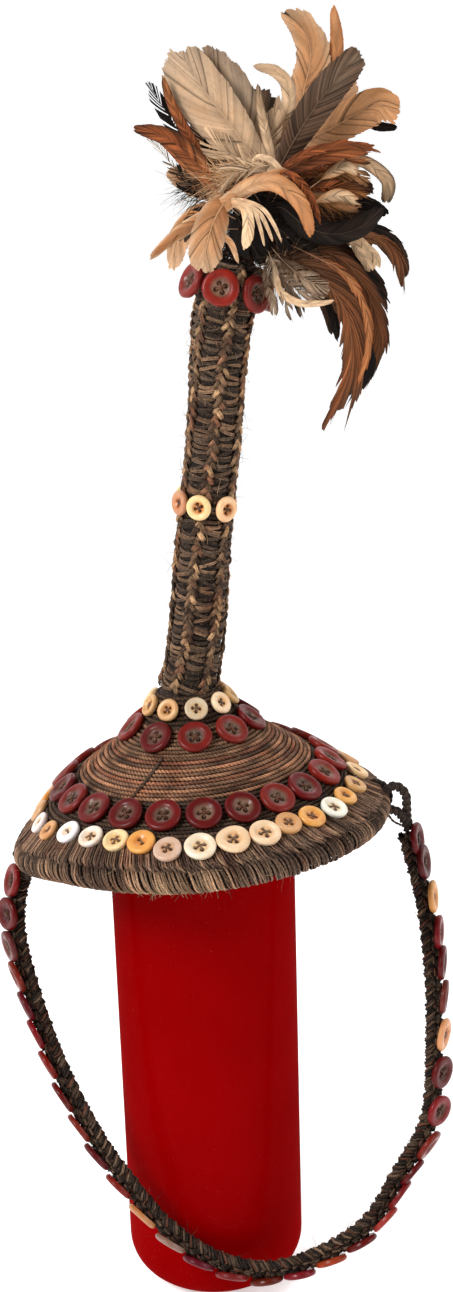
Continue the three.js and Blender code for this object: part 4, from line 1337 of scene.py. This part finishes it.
# half widths left and right of the shaft, the share where it is widest, how blunt the tip is, how the vane
# turns from root to tip, how loose its barbs are, splits a side, tones from root to tip, the outer barbs'
# tone, and the path. The last rows are the ones behind and those that fill the middle
feathers = [
    ((9, 14), 0.5, 0, (0, 0), 0, 3, [creamBarb, tanOrange, tanOrange], beige,
     [(63, 8, 723), (72, 10, 748), (77, 12, 768), (80, 14, 780), (80, 14, 791), (74, 12, 801),
      (64, 10, 809)]),
    ((4.5, 4.5), 0.6, 0.1, (0, 0), 0, 1, [beige, orangeBrown, tanOrange], orangeBrown,
     [(73, 14, 737), (89, 16, 765), (95, 17, 781), (96, 17, 795), (94, 16, 812)]),
    ((10, 14), 0.75, 0.65, (0, 0), 0, 3, [creamBarb, greyBeige, greyTip], greyTip,
     [(54, 2, 722), (47, 2, 738), (40, 3, 751), (32, 4, 765), (23, 6, 776), (19, 8, 786)]),
    ((19, 13), 0.72, 0.55, (0, 0), 0, 3, [creamBarb, beige, greyBeige], greyBeige,
     [(53, -4, 722), (43, -6, 732), (33, -6, 746), (21, -4, 762), (12, -2, 776), (5, 0, 787)]),
    ((7, 8), 0.7, 0.4, (0, 0), 0, 2, [beige, beige, tanOrange], beige,
     [(62, 2, 721), (76, 2, 741), (91, 2, 759), (105, 2, 768)]),
    ((9, 9), 0.6, 0.4, (0, 0), 1, 4, [creamBarb, beige, greyBeige], greyBeige,
     [(59, 10, 721), (64, 12, 740), (66, 14, 754), (68, 14, 769)]),
    ((4.5, 4), 0.6, 0.1, (0, 0), 0, 1, [beige, creamBarb, beige], greyBeige,
     [(56, 6, 723), (60, 8, 740), (67, 10, 757), (66, 12, 770), (58, 12, 777), (47, 12, 779)]),
    ((3.2, 3.2), 0.4, 0.0, (0, 0), 0, 1, [beige, creamBarb, darkBrown], darkBrown,
     [(56, -6, 723), (53, -4, 740), (50, -2, 756), (49, 0, 771)]),
    ((7, 6), 0.6, 0.2, (0, 0), 1, 3, [creamBarb, creamBarb, beige], beige,
     [(57, -2, 722), (55, 0, 735), (57, 2, 746), (60, 4, 758)]),
    ((9.4, 9.8), 0.66, 0.5, (0, 0), 0, 1, [darkBrown, bladeBrown, bladeTip], bladeBrown,
     [(59, -16, 720), (65, -17, 731), (75, -18, 747), (89, -20, 765), (101, -22, 778), (106, -22, 782)]),
    ((10, 12), 0.84, 0.62, (0, 0), 0, 3, [beige, tanOrange, tanOrange], tanOrange,
     [(64, 0, 721), (77, -2, 736), (93, -3, 744), (108, -5, 752), (119, -7, 755), (127, -8, 750)]),
    ((3, 3), 0.6, 0.3, (0, 0), 0, 1, [nearBlack, nearBlack, nearBlack], nearBlack,
     [(109, 0, 746), (119, 0, 743), (129, 0, 742)]),
    ((2.6, 2.6), 0.5, 0.1, (0, 0), 3, 1, [rust, rust, darkBrown], rust,
     [(61, -24, 721), (75, -26, 730), (89, -26, 733), (101, -26, 734), (115, -26, 729)]),
    ((4.5, 4), 0.6, 0.2, (0, 20), 0, 2, [orangeBrown, goldBrown, orangeBrown], rust,
     [(63, -16, 718), (79, -18, 727), (96, -18, 731), (113, -18, 732)]),
    ((6, 6), 0.7, 0.5, (0, 40), 1, 3, [darkBrown, rust, orangeBrown], nearBlack,
     [(66, -6, 716), (82, -10, 721), (98, -12, 725), (111, -12, 725)]),
    ((6, 6), 0.7, 0.5, (20, -30), 1, 3, [darkBrown, goldBrown, tanOrange], darkBrown,
     [(67, -4, 713), (85, -9, 716), (101, -12, 717), (112, -10, 713)]),
    ((6, 6), 0.7, 0.5, (-20, 30), 1, 3, [nearBlack, rust, goldBrown], nearBlack,
     [(67, -6, 710), (84, -12, 710), (99, -14, 708), (110, -12, 704)]),
    ((6, 5), 0.7, 0.5, (0, 30), 1, 3, [nearBlack, goldBrown, tanOrange], nearBlack,
     [(67, -8, 707), (82, -14, 703), (95, -16, 700), (106, -14, 698)]),
    ((4, 4), 0.6, 0.6, (30, -40), 0, 2, [goldBrown, creamBarb, creamBarb], goldBrown,
     [(91, -16, 719), (98, -18, 722), (105, -16, 718)]),
    ((4, 4), 0.6, 0.6, (-30, 30), 0, 2, [goldBrown, creamBarb, creamBarb], goldBrown,
     [(86, -18, 704), (95, -20, 705), (104, -18, 701)]),
    ((7, 7), 0.6, 0.4, (0, 0), 0, 2, [nearBlack, sickleBrown, darkBrown], nearBlack,
     [(66, 2, 711), (85, 0, 712), (101, -2, 711), (114, -2, 707)]),
    ((4.5, 4.5), 0.75, 0.5, (0, 30), 0, 2, [tanOrange, creamBarb, creamBarb], nearBlack,
     [(93, 4, 721), (107, 6, 724), (117, 8, 719), (124, 8, 711), (123, 8, 700)]),
    ((4, 4), 0.7, 0.4, (0, 0), 0, 2, [nearBlack, nearBlack, nearBlack], nearBlack,
     [(90, 2, 707), (105, 4, 702), (117, 4, 697), (123, 4, 693)]),
    ((7, 7), 0.5, 0.3, (0, 10), 0, 1, [nearBlack, dullBlack, dullBlack], nearBlack,
     [(59, -22, 700), (75, -25, 688), (92, -26, 684), (106, -26, 688), (118, -24, 698)]),
    ((5.6, 5.4), 0.55, 0.1, (0, 0), 3, 2, [tanOrange, sickleBrown, sickleBrown], darkBrown,
     [(86, -4, 682), (102, -6, 680), (117, -8, 680), (126, -8, 674), (131, -8, 664), (132, -8, 649)]),
    ((2, 2), 0.5, 0.1, (0, 0), 3, 1, [nearBlack, nearBlack, darkBrown], nearBlack,
     [(98, -5, 686), (114, -9, 686), (127, -10, 679), (134, -10, 667)]),
    ((3, 3), 0.75, 0.6, (0, 0), 0, 2, [tanOrange, creamBarb, creamBarb], creamBarb,
     [(100, -9, 680), (105, -10, 673), (110, -10, 666), (112, -10, 661)]),
    ((3, 3), 0.75, 0.6, (0, 0), 0, 2, [tanOrange, creamBarb, creamBarb], creamBarb,
     [(104, -9, 680), (110, -10, 674), (115, -10, 669), (116, -10, 663)]),
    ((6, 8), 0.55, 0.1, (0, 0), 3, 2, [darkBrown, sickleBrown, sickleBrown], nearBlack,
     [(59, -10, 675), (79, -14, 675), (96, -16, 668), (107, -18, 654), (114, -18, 638), (116, -18, 620),
      (111, -17, 605), (101, -16, 590)]),
    ((3.6, 3.6), 0.4, 0.0, (0, 0), 0, 1, [darkBrown, nearBlack, nearBlack], nearBlack,
     [(76, -14, 656), (86, -15, 647), (90, -15, 635), (92, -15, 621)]),
    ((3, 3), 0.4, 0.0, (0, 0), 0, 1, [sickleBrown, darkBrown, nearBlack], darkBrown,
     [(73, -13, 655), (82, -14, 647), (86, -14, 637), (88, -14, 625)]),
    ((3.5, 3.5), 0.5, 0.1, (0, 0), 3, 1, [nearBlack, dullBlack, nearBlack], nearBlack,
     [(97, -9, 669), (110, -9, 659), (117, -9, 649), (121, -9, 640)]),
    ((5.4, 5), 0.6, 0.1, (0, 0), 3, 2, [nearBlack, nearBlack, nearBlack], nearBlack,
     [(96, -19, 640), (106, -19, 622), (107, -19, 604), (99, -19, 590)]),
    ((13, 6), 0.5, 0.1, (0, 0), 3, 2, [darkBrown, sickleBrown, rust], darkBrown,
     [(54, -20, 669), (70, -23, 667), (81, -25, 660), (91, -27, 649), (97, -28, 637), (99, -28, 622),
      (98, -27, 606), (93, -26, 591), (86, -25, 576)]),
    ((2.6, 2.6), 0.5, 0.1, (0, 0), 3, 1, [darkBrown, orangeBrown, orangeBrown], rust,
     [(80, -30, 671), (94, -31, 663), (105, -31, 647), (109, -31, 630), (108, -30, 614), (103, -29, 599)]),
    ((2.2, 2.2), 0.5, 0.2, (0, 0), 0, 1, [greyBeige, creamBarb, creamBarb], beige,
     [(55, -26, 667), (58, -28, 653), (68, -30, 646), (80, -30, 645), (89, -29, 646)]),
    ((9, 7), 0.5, 0.5, (0, 0), 1, 6, [greyBeige, greyTip, greyBeige], darkBrown,
     [(53, -22, 669), (61, -25, 658), (71, -26, 652), (83, -26, 648)]),
    ((6, 6), 0.5, 0.5, (0, 0), 1, 6, [darkBrown, greyBeige, greyTip], darkBrown,
     [(61, -24, 669), (70, -26, 661), (80, -27, 655), (89, -26, 651)]),
    ((3, 3), 0.5, 0.2, (0, 0), 1, 3, [greyTip, greyBeige, greyTip], darkBrown,
     [(50, -18, 661), (53, -20, 649), (55, -20, 637)]),
    ((3, 3), 0.5, 0.2, (0, 0), 1, 3, [darkBrown, greyBeige, nearBlack], nearBlack,
     [(57, -18, 656), (62, -20, 644), (65, -20, 634)]),
    ((3, 3), 0.5, 0.2, (0, 0), 1, 3, [darkBrown, dullBlack, greyTip], nearBlack,
     [(62, -16, 653), (69, -18, 645), (71, -18, 636)]),
    ((5, 4), 0.6, 0.3, (0, 0), 1, 5, [darkBrown, nearBlack, nearBlack], nearBlack,
     [(20, 4, 714), (8, 4, 733), (-2, 5, 751), (-9, 5, 762), (-14, 5, 772)]),
    ((8, 7), 0.6, 0.3, (0, 0), 1, 6, [nearBlack, nearBlack, dullBlack], dullBlack,
     [(29, 6, 717), (19, 7, 733), (12, 8, 747), (6, 8, 759)]),
    ((3.6, 2.8), 0.5, 0.1, (0, 0), 0, 1, [orangeBrown, rust, orangeBrown], darkBrown,
     [(21, -6, 715), (16, -7, 728), (9, -7, 740), (1, -6, 755), (-3, -5, 765), (-6, -4, 776)]),
    ((5.5, 6.4), 0.45, 0.1, (0, 0), 0, 2, [orangeBrown, rust, rust], darkBrown,
     [(23, -12, 711), (14, -13, 723), (6, -14, 732), (-2, -14, 739), (-13, -14, 744), (-23, -14, 746)]),
    ((3.4, 4.4), 0.5, 0.1, (0, 0), 0, 2, [beige, orangeBrown, rust], rust,
     [(25, -8, 709), (16, -9, 717), (8, -9, 724), (-2, -9, 734), (-10, -9, 741)]),
    ((8, 7), 0.6, 0.3, (0, 0), 2, 9, [creamBarb, creamBarb, beige], creamBarb,
     [(48, -8, 723), (36, -9, 728), (25, -9, 735), (15, -9, 744)]),
    ((7, 7), 0.6, 0.3, (0, 0), 2, 9, [creamBarb, creamBarb, beige], creamBarb,
     [(46, -12, 722), (35, -13, 724), (24, -13, 723), (17, -12, 719)]),
    ((4, 3), 0.6, 0.3, (0, 0), 2, 7, [beige, dullBlack, creamBarb], nearBlack,
     [(24, 0, 703), (9, 0, 714), (-4, 0, 727), (-15, 0, 743)]),
    ((4, 3), 0.6, 0.3, (0, 0), 2, 7, [dullBlack, nearBlack, nearBlack], nearBlack,
     [(24, 2, 701), (12, 2, 707), (5, 2, 713), (0, 2, 723)]),
    ((4, 4), 0.6, 0.3, (0, 0), 1, 4, [darkBrown, nearBlack, greyTip], nearBlack,
     [(26, -10, 698), (15, -10, 697), (7, -10, 693), (2, -8, 682)]),
    ((9, 9), 0.5, 0.4, (0, 0), 1, 2, [nearBlack, nearBlack, nearBlack], nearBlack,
     [(40, -18, 705), (52, -22, 693), (65, -22, 682), (74, -20, 672)]),
    ((9, 9), 0.5, 0.4, (0, 0), 1, 2, [nearBlack, nearBlack, nearBlack], nearBlack,
     [(34, -20, 698), (40, -22, 684), (48, -20, 669)]),
    ((8, 7), 0.5, 0.4, (0, 0), 0, 2, [nearBlack, darkBrown, darkBrown], nearBlack,
     [(46, -14, 672), (68, -16, 674), (88, -14, 670)]),
    ((9, 9), 0.5, 0.4, (0, 0), 1, 2, [nearBlack, nearBlack, nearBlack], nearBlack,
     [(37, -12, 711), (49, -16, 706), (64, -16, 704), (78, -14, 695)]),
    ((5, 4.4), 0.5, 0.15, (10, -25), 0, 1, [tanOrange, tanOrange, orangeBrown], creamBarb,
     [(62, -34, 720), (49, -38, 716), (34, -42, 708), (20, -42, 699), (2, -38, 689), (-17, -32, 674)]),
    ((5.6, 5.2), 0.55, 0.1, (0, 25), 0, 2, [creamBarb, tanOrange, orangeBrown], orangeBrown,
     [(26, -38, 702), (38, -43, 711), (52, -46, 715), (63, -47, 710), (71, -46, 700), (76, -44, 684)]),
    ((2.2, 2.2), 0.5, 0.05, (0, 0), 0, 1, [rust, rust, rust], rust,
     [(61, -38, 720), (70, -41, 715), (77, -41, 704), (82, -39, 690)]),
    ((10.5, 10.5), 0.55, 0.6, (-20, 0), 0, 2, [orangeBrown, tanOrange, beige], beige,
     [(28, -40, 704), (21, -48, 695), (17, -51, 684), (15, -49, 675), (14, -46, 668)]),
    ((1.8, 1.8), 0.5, 0.1, (0, 0), 0, 0, [tanOrange, tanOrange, beige], beige,
     [(24, -44, 688), (30, -46, 682), (34, -45, 670)]),
    ((4, 4), 0.8, 0.6, (0, 40), 0, 1, [tanOrange, creamBarb, creamBarb], creamBarb,
     [(29, -40, 704), (38, -44, 702), (40, -46, 693), (38, -44, 680)]),
    ((1.2, 1.2), 0.5, 0.3, (0, 0), 0, 0, [tanOrange, creamBarb, beige], creamBarb,
     [(31, -42, 705), (43, -46, 700), (47, -46, 690), (49, -45, 680)]),
    ((1.2, 1.2), 0.5, 0.3, (0, 0), 0, 0, [tanOrange, creamBarb, beige], creamBarb,
     [(33, -42, 705), (46, -46, 699), (51, -46, 690), (54, -45, 682)]),
    ((1.2, 1.2), 0.5, 0.3, (0, 0), 0, 0, [tanOrange, creamBarb, beige], creamBarb,
     [(34, -42, 706), (48, -46, 701), (55, -46, 691), (59, -45, 681)]),
    ((1.8, 1.8), 0.5, 0.3, (0, 0), 0, 0, [creamBarb, creamBarb, creamBarb], beige,
     [(46, -28, 728), (54, -32, 727), (62, -35, 719)]),
    ((6, 6), 0.5, 0.4, (0, 0), 2, 7, [creamBarb, creamBarb, beige], beige,
     [(56, -24, 723), (44, -27, 722), (32, -27, 719), (23, -25, 713)]),
    ((4, 4), 0.5, 0.4, (0, 0), 2, 6, [beige, creamBarb, beige], beige,
     [(49, -22, 720), (43, -24, 714), (34, -24, 707)]),
    ((13, 13), 0.7, 0.5, (30, 30), 0, 2, [darkBrown, goldBrown, beige], greyTip,
     [(44, 14, 700), (30, 32, 722), (16, 44, 750)]),
    ((12, 12), 0.7, 0.5, (-30, -30), 0, 2, [darkBrown, rust, goldBrown], darkBrown,
     [(56, 14, 700), (72, 36, 720), (86, 48, 742)]),
    ((10, 10), 0.6, 0.2, (0, 0), 3, 2, [darkBrown, sickleBrown, rust], nearBlack,
     [(46, 14, 690), (44, 40, 690), (40, 52, 670), (38, 54, 646)]),
    ((11, 11), 0.6, 0.2, (-20, -20), 3, 2, [nearBlack, darkBrown, sickleBrown], nearBlack,
     [(58, 12, 686), (82, 34, 682), (96, 42, 660), (98, 42, 634)]),
    ((10, 10), 0.6, 0.3, (40, 40), 0, 2, [rust, goldBrown, beige], beige,
     [(34, 10, 690), (14, 28, 696), (0, 34, 684), (-6, 34, 664)]),
    ((13, 13), 0.7, 0.5, (5, 5), 0, 2, [darkBrown, bladeBrown, bladeTip], bladeBrown,
     [(48, 16, 700), (50, 34, 730), (52, 44, 764)]),
    ((10, 10), 0.7, 0.3, (-50, -50), 0, 2, [goldBrown, tanOrange, tanOrange], orangeBrown,
     [(60, 10, 704), (84, 24, 716), (104, 30, 730)]),
    ((10, 10), 0.7, 0.3, (50, 50), 0, 2, [rust, orangeBrown, tanOrange], beige,
     [(38, 10, 704), (16, 22, 712), (-4, 28, 722)]),
    ((9, 9), 0.6, 0.3, (10, -20), 0, 2, [goldBrown, tanOrange, creamBarb], creamBarb,
     [(50, 20, 704), (56, 42, 708), (60, 54, 692), (60, 54, 670)]),
    ((10, 9), 0.6, 0.4, (0, 0), 0, 0, [nearBlack, darkBrown, dullBlack], nearBlack,
     [(73, 6, 697), (85, 8, 693), (100, 8, 692), (112, 8, 696)]),
    ((9, 8), 0.6, 0.4, (0, 0), 0, 0, [nearBlack, darkBrown, darkBrown], nearBlack,
     [(70, 6, 705), (83, 8, 704), (98, 8, 705), (111, 8, 706)]),
    ((10, 9), 0.6, 0.3, (0, 0), 3, 0, [nearBlack, sickleBrown, rust], nearBlack,
     [(69, -4, 681), (84, -6, 676), (98, -8, 666), (109, -8, 652), (115, -8, 635)]),
    ((4.5, 5), 0.6, 0.2, (0, 0), 3, 0, [darkBrown, rust, goldBrown], rust,
     [(60, -20, 718), (77, -22, 726), (93, -24, 730), (113, -24, 730)]),
]

tuft = {
    "root": (46, -2, 687),
    "barbStep": 0.9,
    "rows": 120,
    "columns": 6,
    # each list has an entry for a looseness from 0, tight, to 2, broken up, and 3 for long-barbed hackles.
    # the barbs' angle to the shaft at root and tip
    "lean": [(38, 17), (38, 17), (38, 17), (17, 7)],
    "cup": 0.2,
    "shaft": 0.55,
    # barbs in a clump, how far they draw together, and how uneven their ends are
    "clumps": [(14, 0.1, 0.03), (6, 0.35, 0.12), (2, 0.6, 0.2), (4, 0.5, 0.16)],
    # how much the barbs' tones differ, and the same for dark feathers
    "mottle": [0.1, 0.1, 0.15, 0.4],
    "darkMottle": [0.3, 0.3, 0.3, 0.4],
    "firstBarb": 0.85,
    "seed": 71,
}


def onShaft(values, share):
    # values between the shaft's rows, held at its ends
    rows = len(values)
    index = np.clip(share, 0, 1) * (rows - 1)
    low = np.clip(index.astype(int), 0, rows - 2)
    return blend(values[low], values[low + 1], index - low)


def addFeather(skin, look, rng):
    # a shaft and two vanes. A vane is a thin sheet of barbs, parted where they split
    halves, wide, blunt, turns, loose, splits, tones, edge, path = look
    rows = tuft["rows"]
    line = spread(splined([tuft["root"]] + path), rows)
    length = measured(line)[-1]
    start = tuft["firstBarb"] * np.linalg.norm(np.array(path[0]) - tuft["root"]) / length
    along = unit(np.gradient(line, axis=0))
    across = unit(np.cross(along, [0, -1.0, 0]))
    thin = np.cross(along, across)
    turn = np.radians(np.linspace(turns[0], turns[1], rows))[:, None]
    across = across * np.cos(turn) + thin * np.sin(turn)
    thin = np.cross(along, across)
    stops = linear(np.array(tones, float))
    shaft = (tuft["shaft"] * (1 - 0.8 * np.linspace(0, 1, rows))) * np.clip(sum(halves) / 16, 0.4, 1.2)
    shaftTone = blend(stops[1], linear(creamBarb), 0.3 if tones[1][0] > 150 else 0.06)
    sweep(skin, line[::3], thin[::3], (shaft[::3, None] * np.ones(4))[None], shaftTone[None])
    inClump, drawn, uneven = tuft["clumps"][loose]
    for side, half in ((-1, halves[0]), (1, halves[1])):
        count = max(8, int(length * (1 - start) / tuft["barbStep"]))
        own = np.linspace(0, 1, count)
        cuts = rng.random(count) < 1 / inClump
        clump = np.cumsum(cuts)
        clumps = clump[-1] + 1
        middle = np.bincount(clump, own, clumps) / np.maximum(np.bincount(clump, minlength=clumps), 1)
        leanFrom, leanTo = tuft["lean"][loose]
        lean = np.radians(leanFrom + (leanTo - leanFrom) * own)
        vane = (1 - start) * length
        run = half * 0.85 / np.tan(lean) * np.minimum(1, 0.25 + own / wide)
        left = np.clip((1 - own) * vane / run, 0, 1)
        ends = rng.normal(0, uneven, clumps)[clump] + rng.normal(0, 0.02, count)
        end = np.minimum(own + run / vane, 1 + 0.45 * blunt * half / vane * (1 - left**2))
        rising = 0.15 + 0.85 * np.sin(np.pi / 2 * np.minimum(1, end / wide)) ** 0.7
        past = np.clip((end - wide) / (1 - wide), 0, 1)
        falling = blunt + (1 - blunt) * np.sqrt(np.maximum(0, 1 - past**2))
        reach = half * np.minimum(rising, falling) * left**0.6 * (1 + ends)
        ragged = rng.normal(0, 1.6 if blunt > 0.5 else 0.4, count // 5 + 1).repeat(5)[:count]
        ahead = (end - own) * vane * (1 + ends) + ragged * (1 - left)
        t = np.linspace(0, 1, tuft["columns"])[None]
        pulled = own[:, None] + (middle[clump] - own)[:, None] * drawn * t**1.5
        parted = np.zeros(count, bool)
        for split in rng.uniform(0.2, 0.97, splits):
            away = own - split
            gap = rng.uniform(0.02, 0.12) / length
            pulled = pulled + (np.sign(away) * np.exp(-np.abs(away) / 0.06) * gap)[:, None] * t**2.5
            parted[np.searchsorted(own, split)] = True
        share = start + (1 - start) * pulled + ahead[:, None] * t / length
        beyond = np.maximum(share - 1, 0)[..., None] * length
        places = onShaft(line, share) + onShaft(along, share) * beyond
        sideways = side * reach[:, None] * t ** (0.85 if loose < 2 else 1)
        wave = np.interp(own, np.linspace(0, 1, 7), rng.normal(0, 0.07, 7)) + rng.normal(0, 0.004, count)
        lift = reach[:, None] * (tuft["cup"] * t**2 + wave[:, None] * t)
        points = places + onShaft(across, share) * sideways[..., None]
        points = points + onShaft(thin, share) * lift[..., None]
        low = np.clip((own * 2).astype(int), 0, 1)
        tone = blend(stops[low], stops[low + 1], own * 2 - low)
        tone = blend(tone[:, None], linear(edge), smooth((t - 0.5) / 0.5) * 0.75 + 0 * own[:, None])
        dusky = tones[1][0] < 150
        mottle = tuft["darkMottle" if dusky else "mottle"][loose]
        streak = rng.normal(1, mottle, count) * rng.normal(1, 0.05, clumps)[clump]
        streak = streak * np.where(rng.random(count) < (0.18 if dusky else 0.015), 0.4, 1)
        # the barbs at a split are darkened: painted shade in the gap
        away = np.abs(own - own[parted].reshape(-1, 1)).min(0, initial=1)
        dark = np.exp(-away / 0.007) if parted.any() else 0 * own
        streak = streak * (1 - 0.75 * dark) * (1 + 0.12 * np.sin(own * 37 + rng.uniform(0, 6)))
        shade = np.clip(tone * streak[:, None, None], 0.001, 0.9)
        # painted shade: the barbs' roots beside the shaft are darker
        shade[:, 0] *= 0.7
        breaks = np.flatnonzero(cuts) if loose in (1, 2) else []
        for first, last in zip([0, *breaks], [*breaks, count]):
            if last - first > 1:
                skin.grid(points[None, first:last], shade[None, first:last], False, False)


def makePlume(look):
    rng = np.random.default_rng(look["seed"])
    skin = Skin()
    for feather in feathers:
        addFeather(skin, feather, rng)
    addPiece("plume_feathers", skin.mesh("plume_feathers"), plumage, ["plume"])


downLook = {
    "seed": 77,
    # middle, half sizes, count, hair length, tone, drift
    "tufts": [
        # the near-black tufts, the first three and the last, are painted shade in the plume's shadowed
        # middle
        ((46, -2, 690), (22, 15, 16), 2700, 14, (24, 16, 12), (0, 0, 0)),
        ((44, -18, 704), (20, 9, 15), 1300, 12, (20, 14, 10), (0, 0, 0)),
        ((34, 0, 674), (20, 18, 7), 1100, 12, (40, 28, 21), (0, 0, 0.1)),
        ((62, -16, 668), (16, 9, 9), 900, 18, (120, 92, 70), (0.3, -0.2, -0.8)),
        ((32, -12, 716), (15, 8, 8), 260, 22, (214, 174, 132), (-0.9, -0.2, 0.3)),
        ((84, 0, 708), (18, 8, 12), 420, 16, (160, 108, 60), (0.8, 0, 0.2)),
        ((10, 2, 712), (10, 6, 12), 260, 16, (24, 18, 15), (-0.8, 0, 0.3)),
    ],
}


def makeDown(look):
    # soft curled hairs round the quills' roots; the near-black tufts are painted shade in the plume's
    # shadowed middle
    rng = np.random.default_rng(look["seed"])
    skin = Skin()
    t = np.linspace(0, 1, 5)[None, :, None]
    for middle, half, count, length, tone, drift in look["tufts"]:
        ball = unit(rng.normal(0, 1, (count, 3)))
        start = np.array(middle) + ball * np.array(half) * rng.uniform(0.2, 0.85, (count, 1))
        way = unit(ball * 0.8 + np.array(drift) + rng.normal(0, 0.45, (count, 3)))
        curl = rng.normal(0, 0.5, (count, 3)) + np.array([0, 0, -0.25])
        reach = length * rng.uniform(0.4, 1, (count, 1, 1))
        middles = start[:, None] + way[:, None] * reach * t + curl[:, None] * reach * t**2 * 0.6
        side = unit(np.cross(way, rng.normal(0, 1, (count, 3))))[:, None]
        ribbon = 0.24 * (1 - 0.8 * t)
        edges = np.stack([middles - side * ribbon, middles + side * ribbon], 2)
        tones = linear(tone) * rng.uniform(0.5, 1.5, (count, 1, 1, 1))
        skin.grid(edges, tones + 0 * edges, False, False)
    addPiece("plume_down", skin.mesh("plume_down"), plumage)


makePlume(tuft)
makeDown(downLook)
print("stage: plume made")


# floor and lights

lightLook = {
    # name, place, aim, size, power
    "lamps": [
        ("key", (-1150, -950, 1500), (0, 0, 470), 650, 34),
        ("fill", (1350, -500, 900), (0, 0, 330), 900, 9),
        ("back", (300, 1100, 1600), (0, 0, 500), 900, 6),
    ],
    "world": 0.2,
}

floorLook = {"reach": 9100, "rise": 3150, "height": 11200, "glow": 0.5, "around": 96}


def makeFloor(look):
    # a pale round floor that sweeps up into a wall behind
    values = {"Roughness": 0.95, "Specular IOR Level": 0.1, "Emission Strength": look["glow"]}
    finish = Finish("paleFloor", values)
    grain = finish.noise(finish.place(), 3, 2, 0.5)
    finish.feed("Base Color", finish.mix(grain, (0.86, 0.86, 0.86, 1), (0.9, 0.9, 0.9, 1)))
    finish.feed("Emission Color", (1, 1, 1, 1))
    turns = np.radians(np.linspace(-90, 0, 16))
    sweepOut = look["reach"] - look["rise"] + look["rise"] * np.cos(turns)
    sweepUp = look["rise"] + look["rise"] * np.sin(turns)
    flat = np.linspace(1, look["reach"] - look["rise"], 8)[:-1]
    r = np.concatenate([flat, sweepOut, [look["reach"]]])
    z = np.concatenate([0 * flat, sweepUp, [look["height"]]])
    spin = 2 * np.pi * np.arange(look["around"]) / look["around"]
    points = np.empty((1, len(r), look["around"], 3))
    points[..., 0] = r[None, :, None] * np.cos(spin)
    points[..., 1] = r[None, :, None] * np.sin(spin)
    points[..., 2] = z[None, :, None] * smooth(np.sin(spin) * 2 + 0.6)
    skin = Skin()
    skin.grid(points[:, :, ::-1], np.ones(3))
    mesh = skin.mesh("floor")
    mesh.materials.append(finish.material)
    floor = bpy.data.objects.new("floor", mesh)
    bpy.context.scene.collection.objects.link(floor)


def makeLights(look):
    for name, place, aim, size, power in look["lamps"]:
        data = bpy.data.lights.new(name, "AREA")
        data.size = size * mm
        data.energy = power
        lamp = bpy.data.objects.new(name, data)
        bpy.context.scene.collection.objects.link(lamp)
        back = unit((np.array(place, float) - np.array(aim, float)) * mm)
        side = unit(np.cross([0, 0, 1.0], back))
        turn = Matrix(np.column_stack([side, np.cross(back, side), back]).tolist()).to_4x4()
        lamp.matrix_world = Matrix.Translation(np.array(place) * mm) @ turn
    world = bpy.data.worlds.new("studio")
    world.use_nodes = True
    world.node_tree.nodes["Background"].inputs["Color"].default_value = (1, 1, 1, 1)
    world.node_tree.nodes["Background"].inputs["Strength"].default_value = look["world"]
    bpy.context.scene.world = world


makeFloor(floorLook)
makeLights(lightLook)
bpy.context.scene.view_settings.view_transform = "Standard"

print("stage: scene ready")
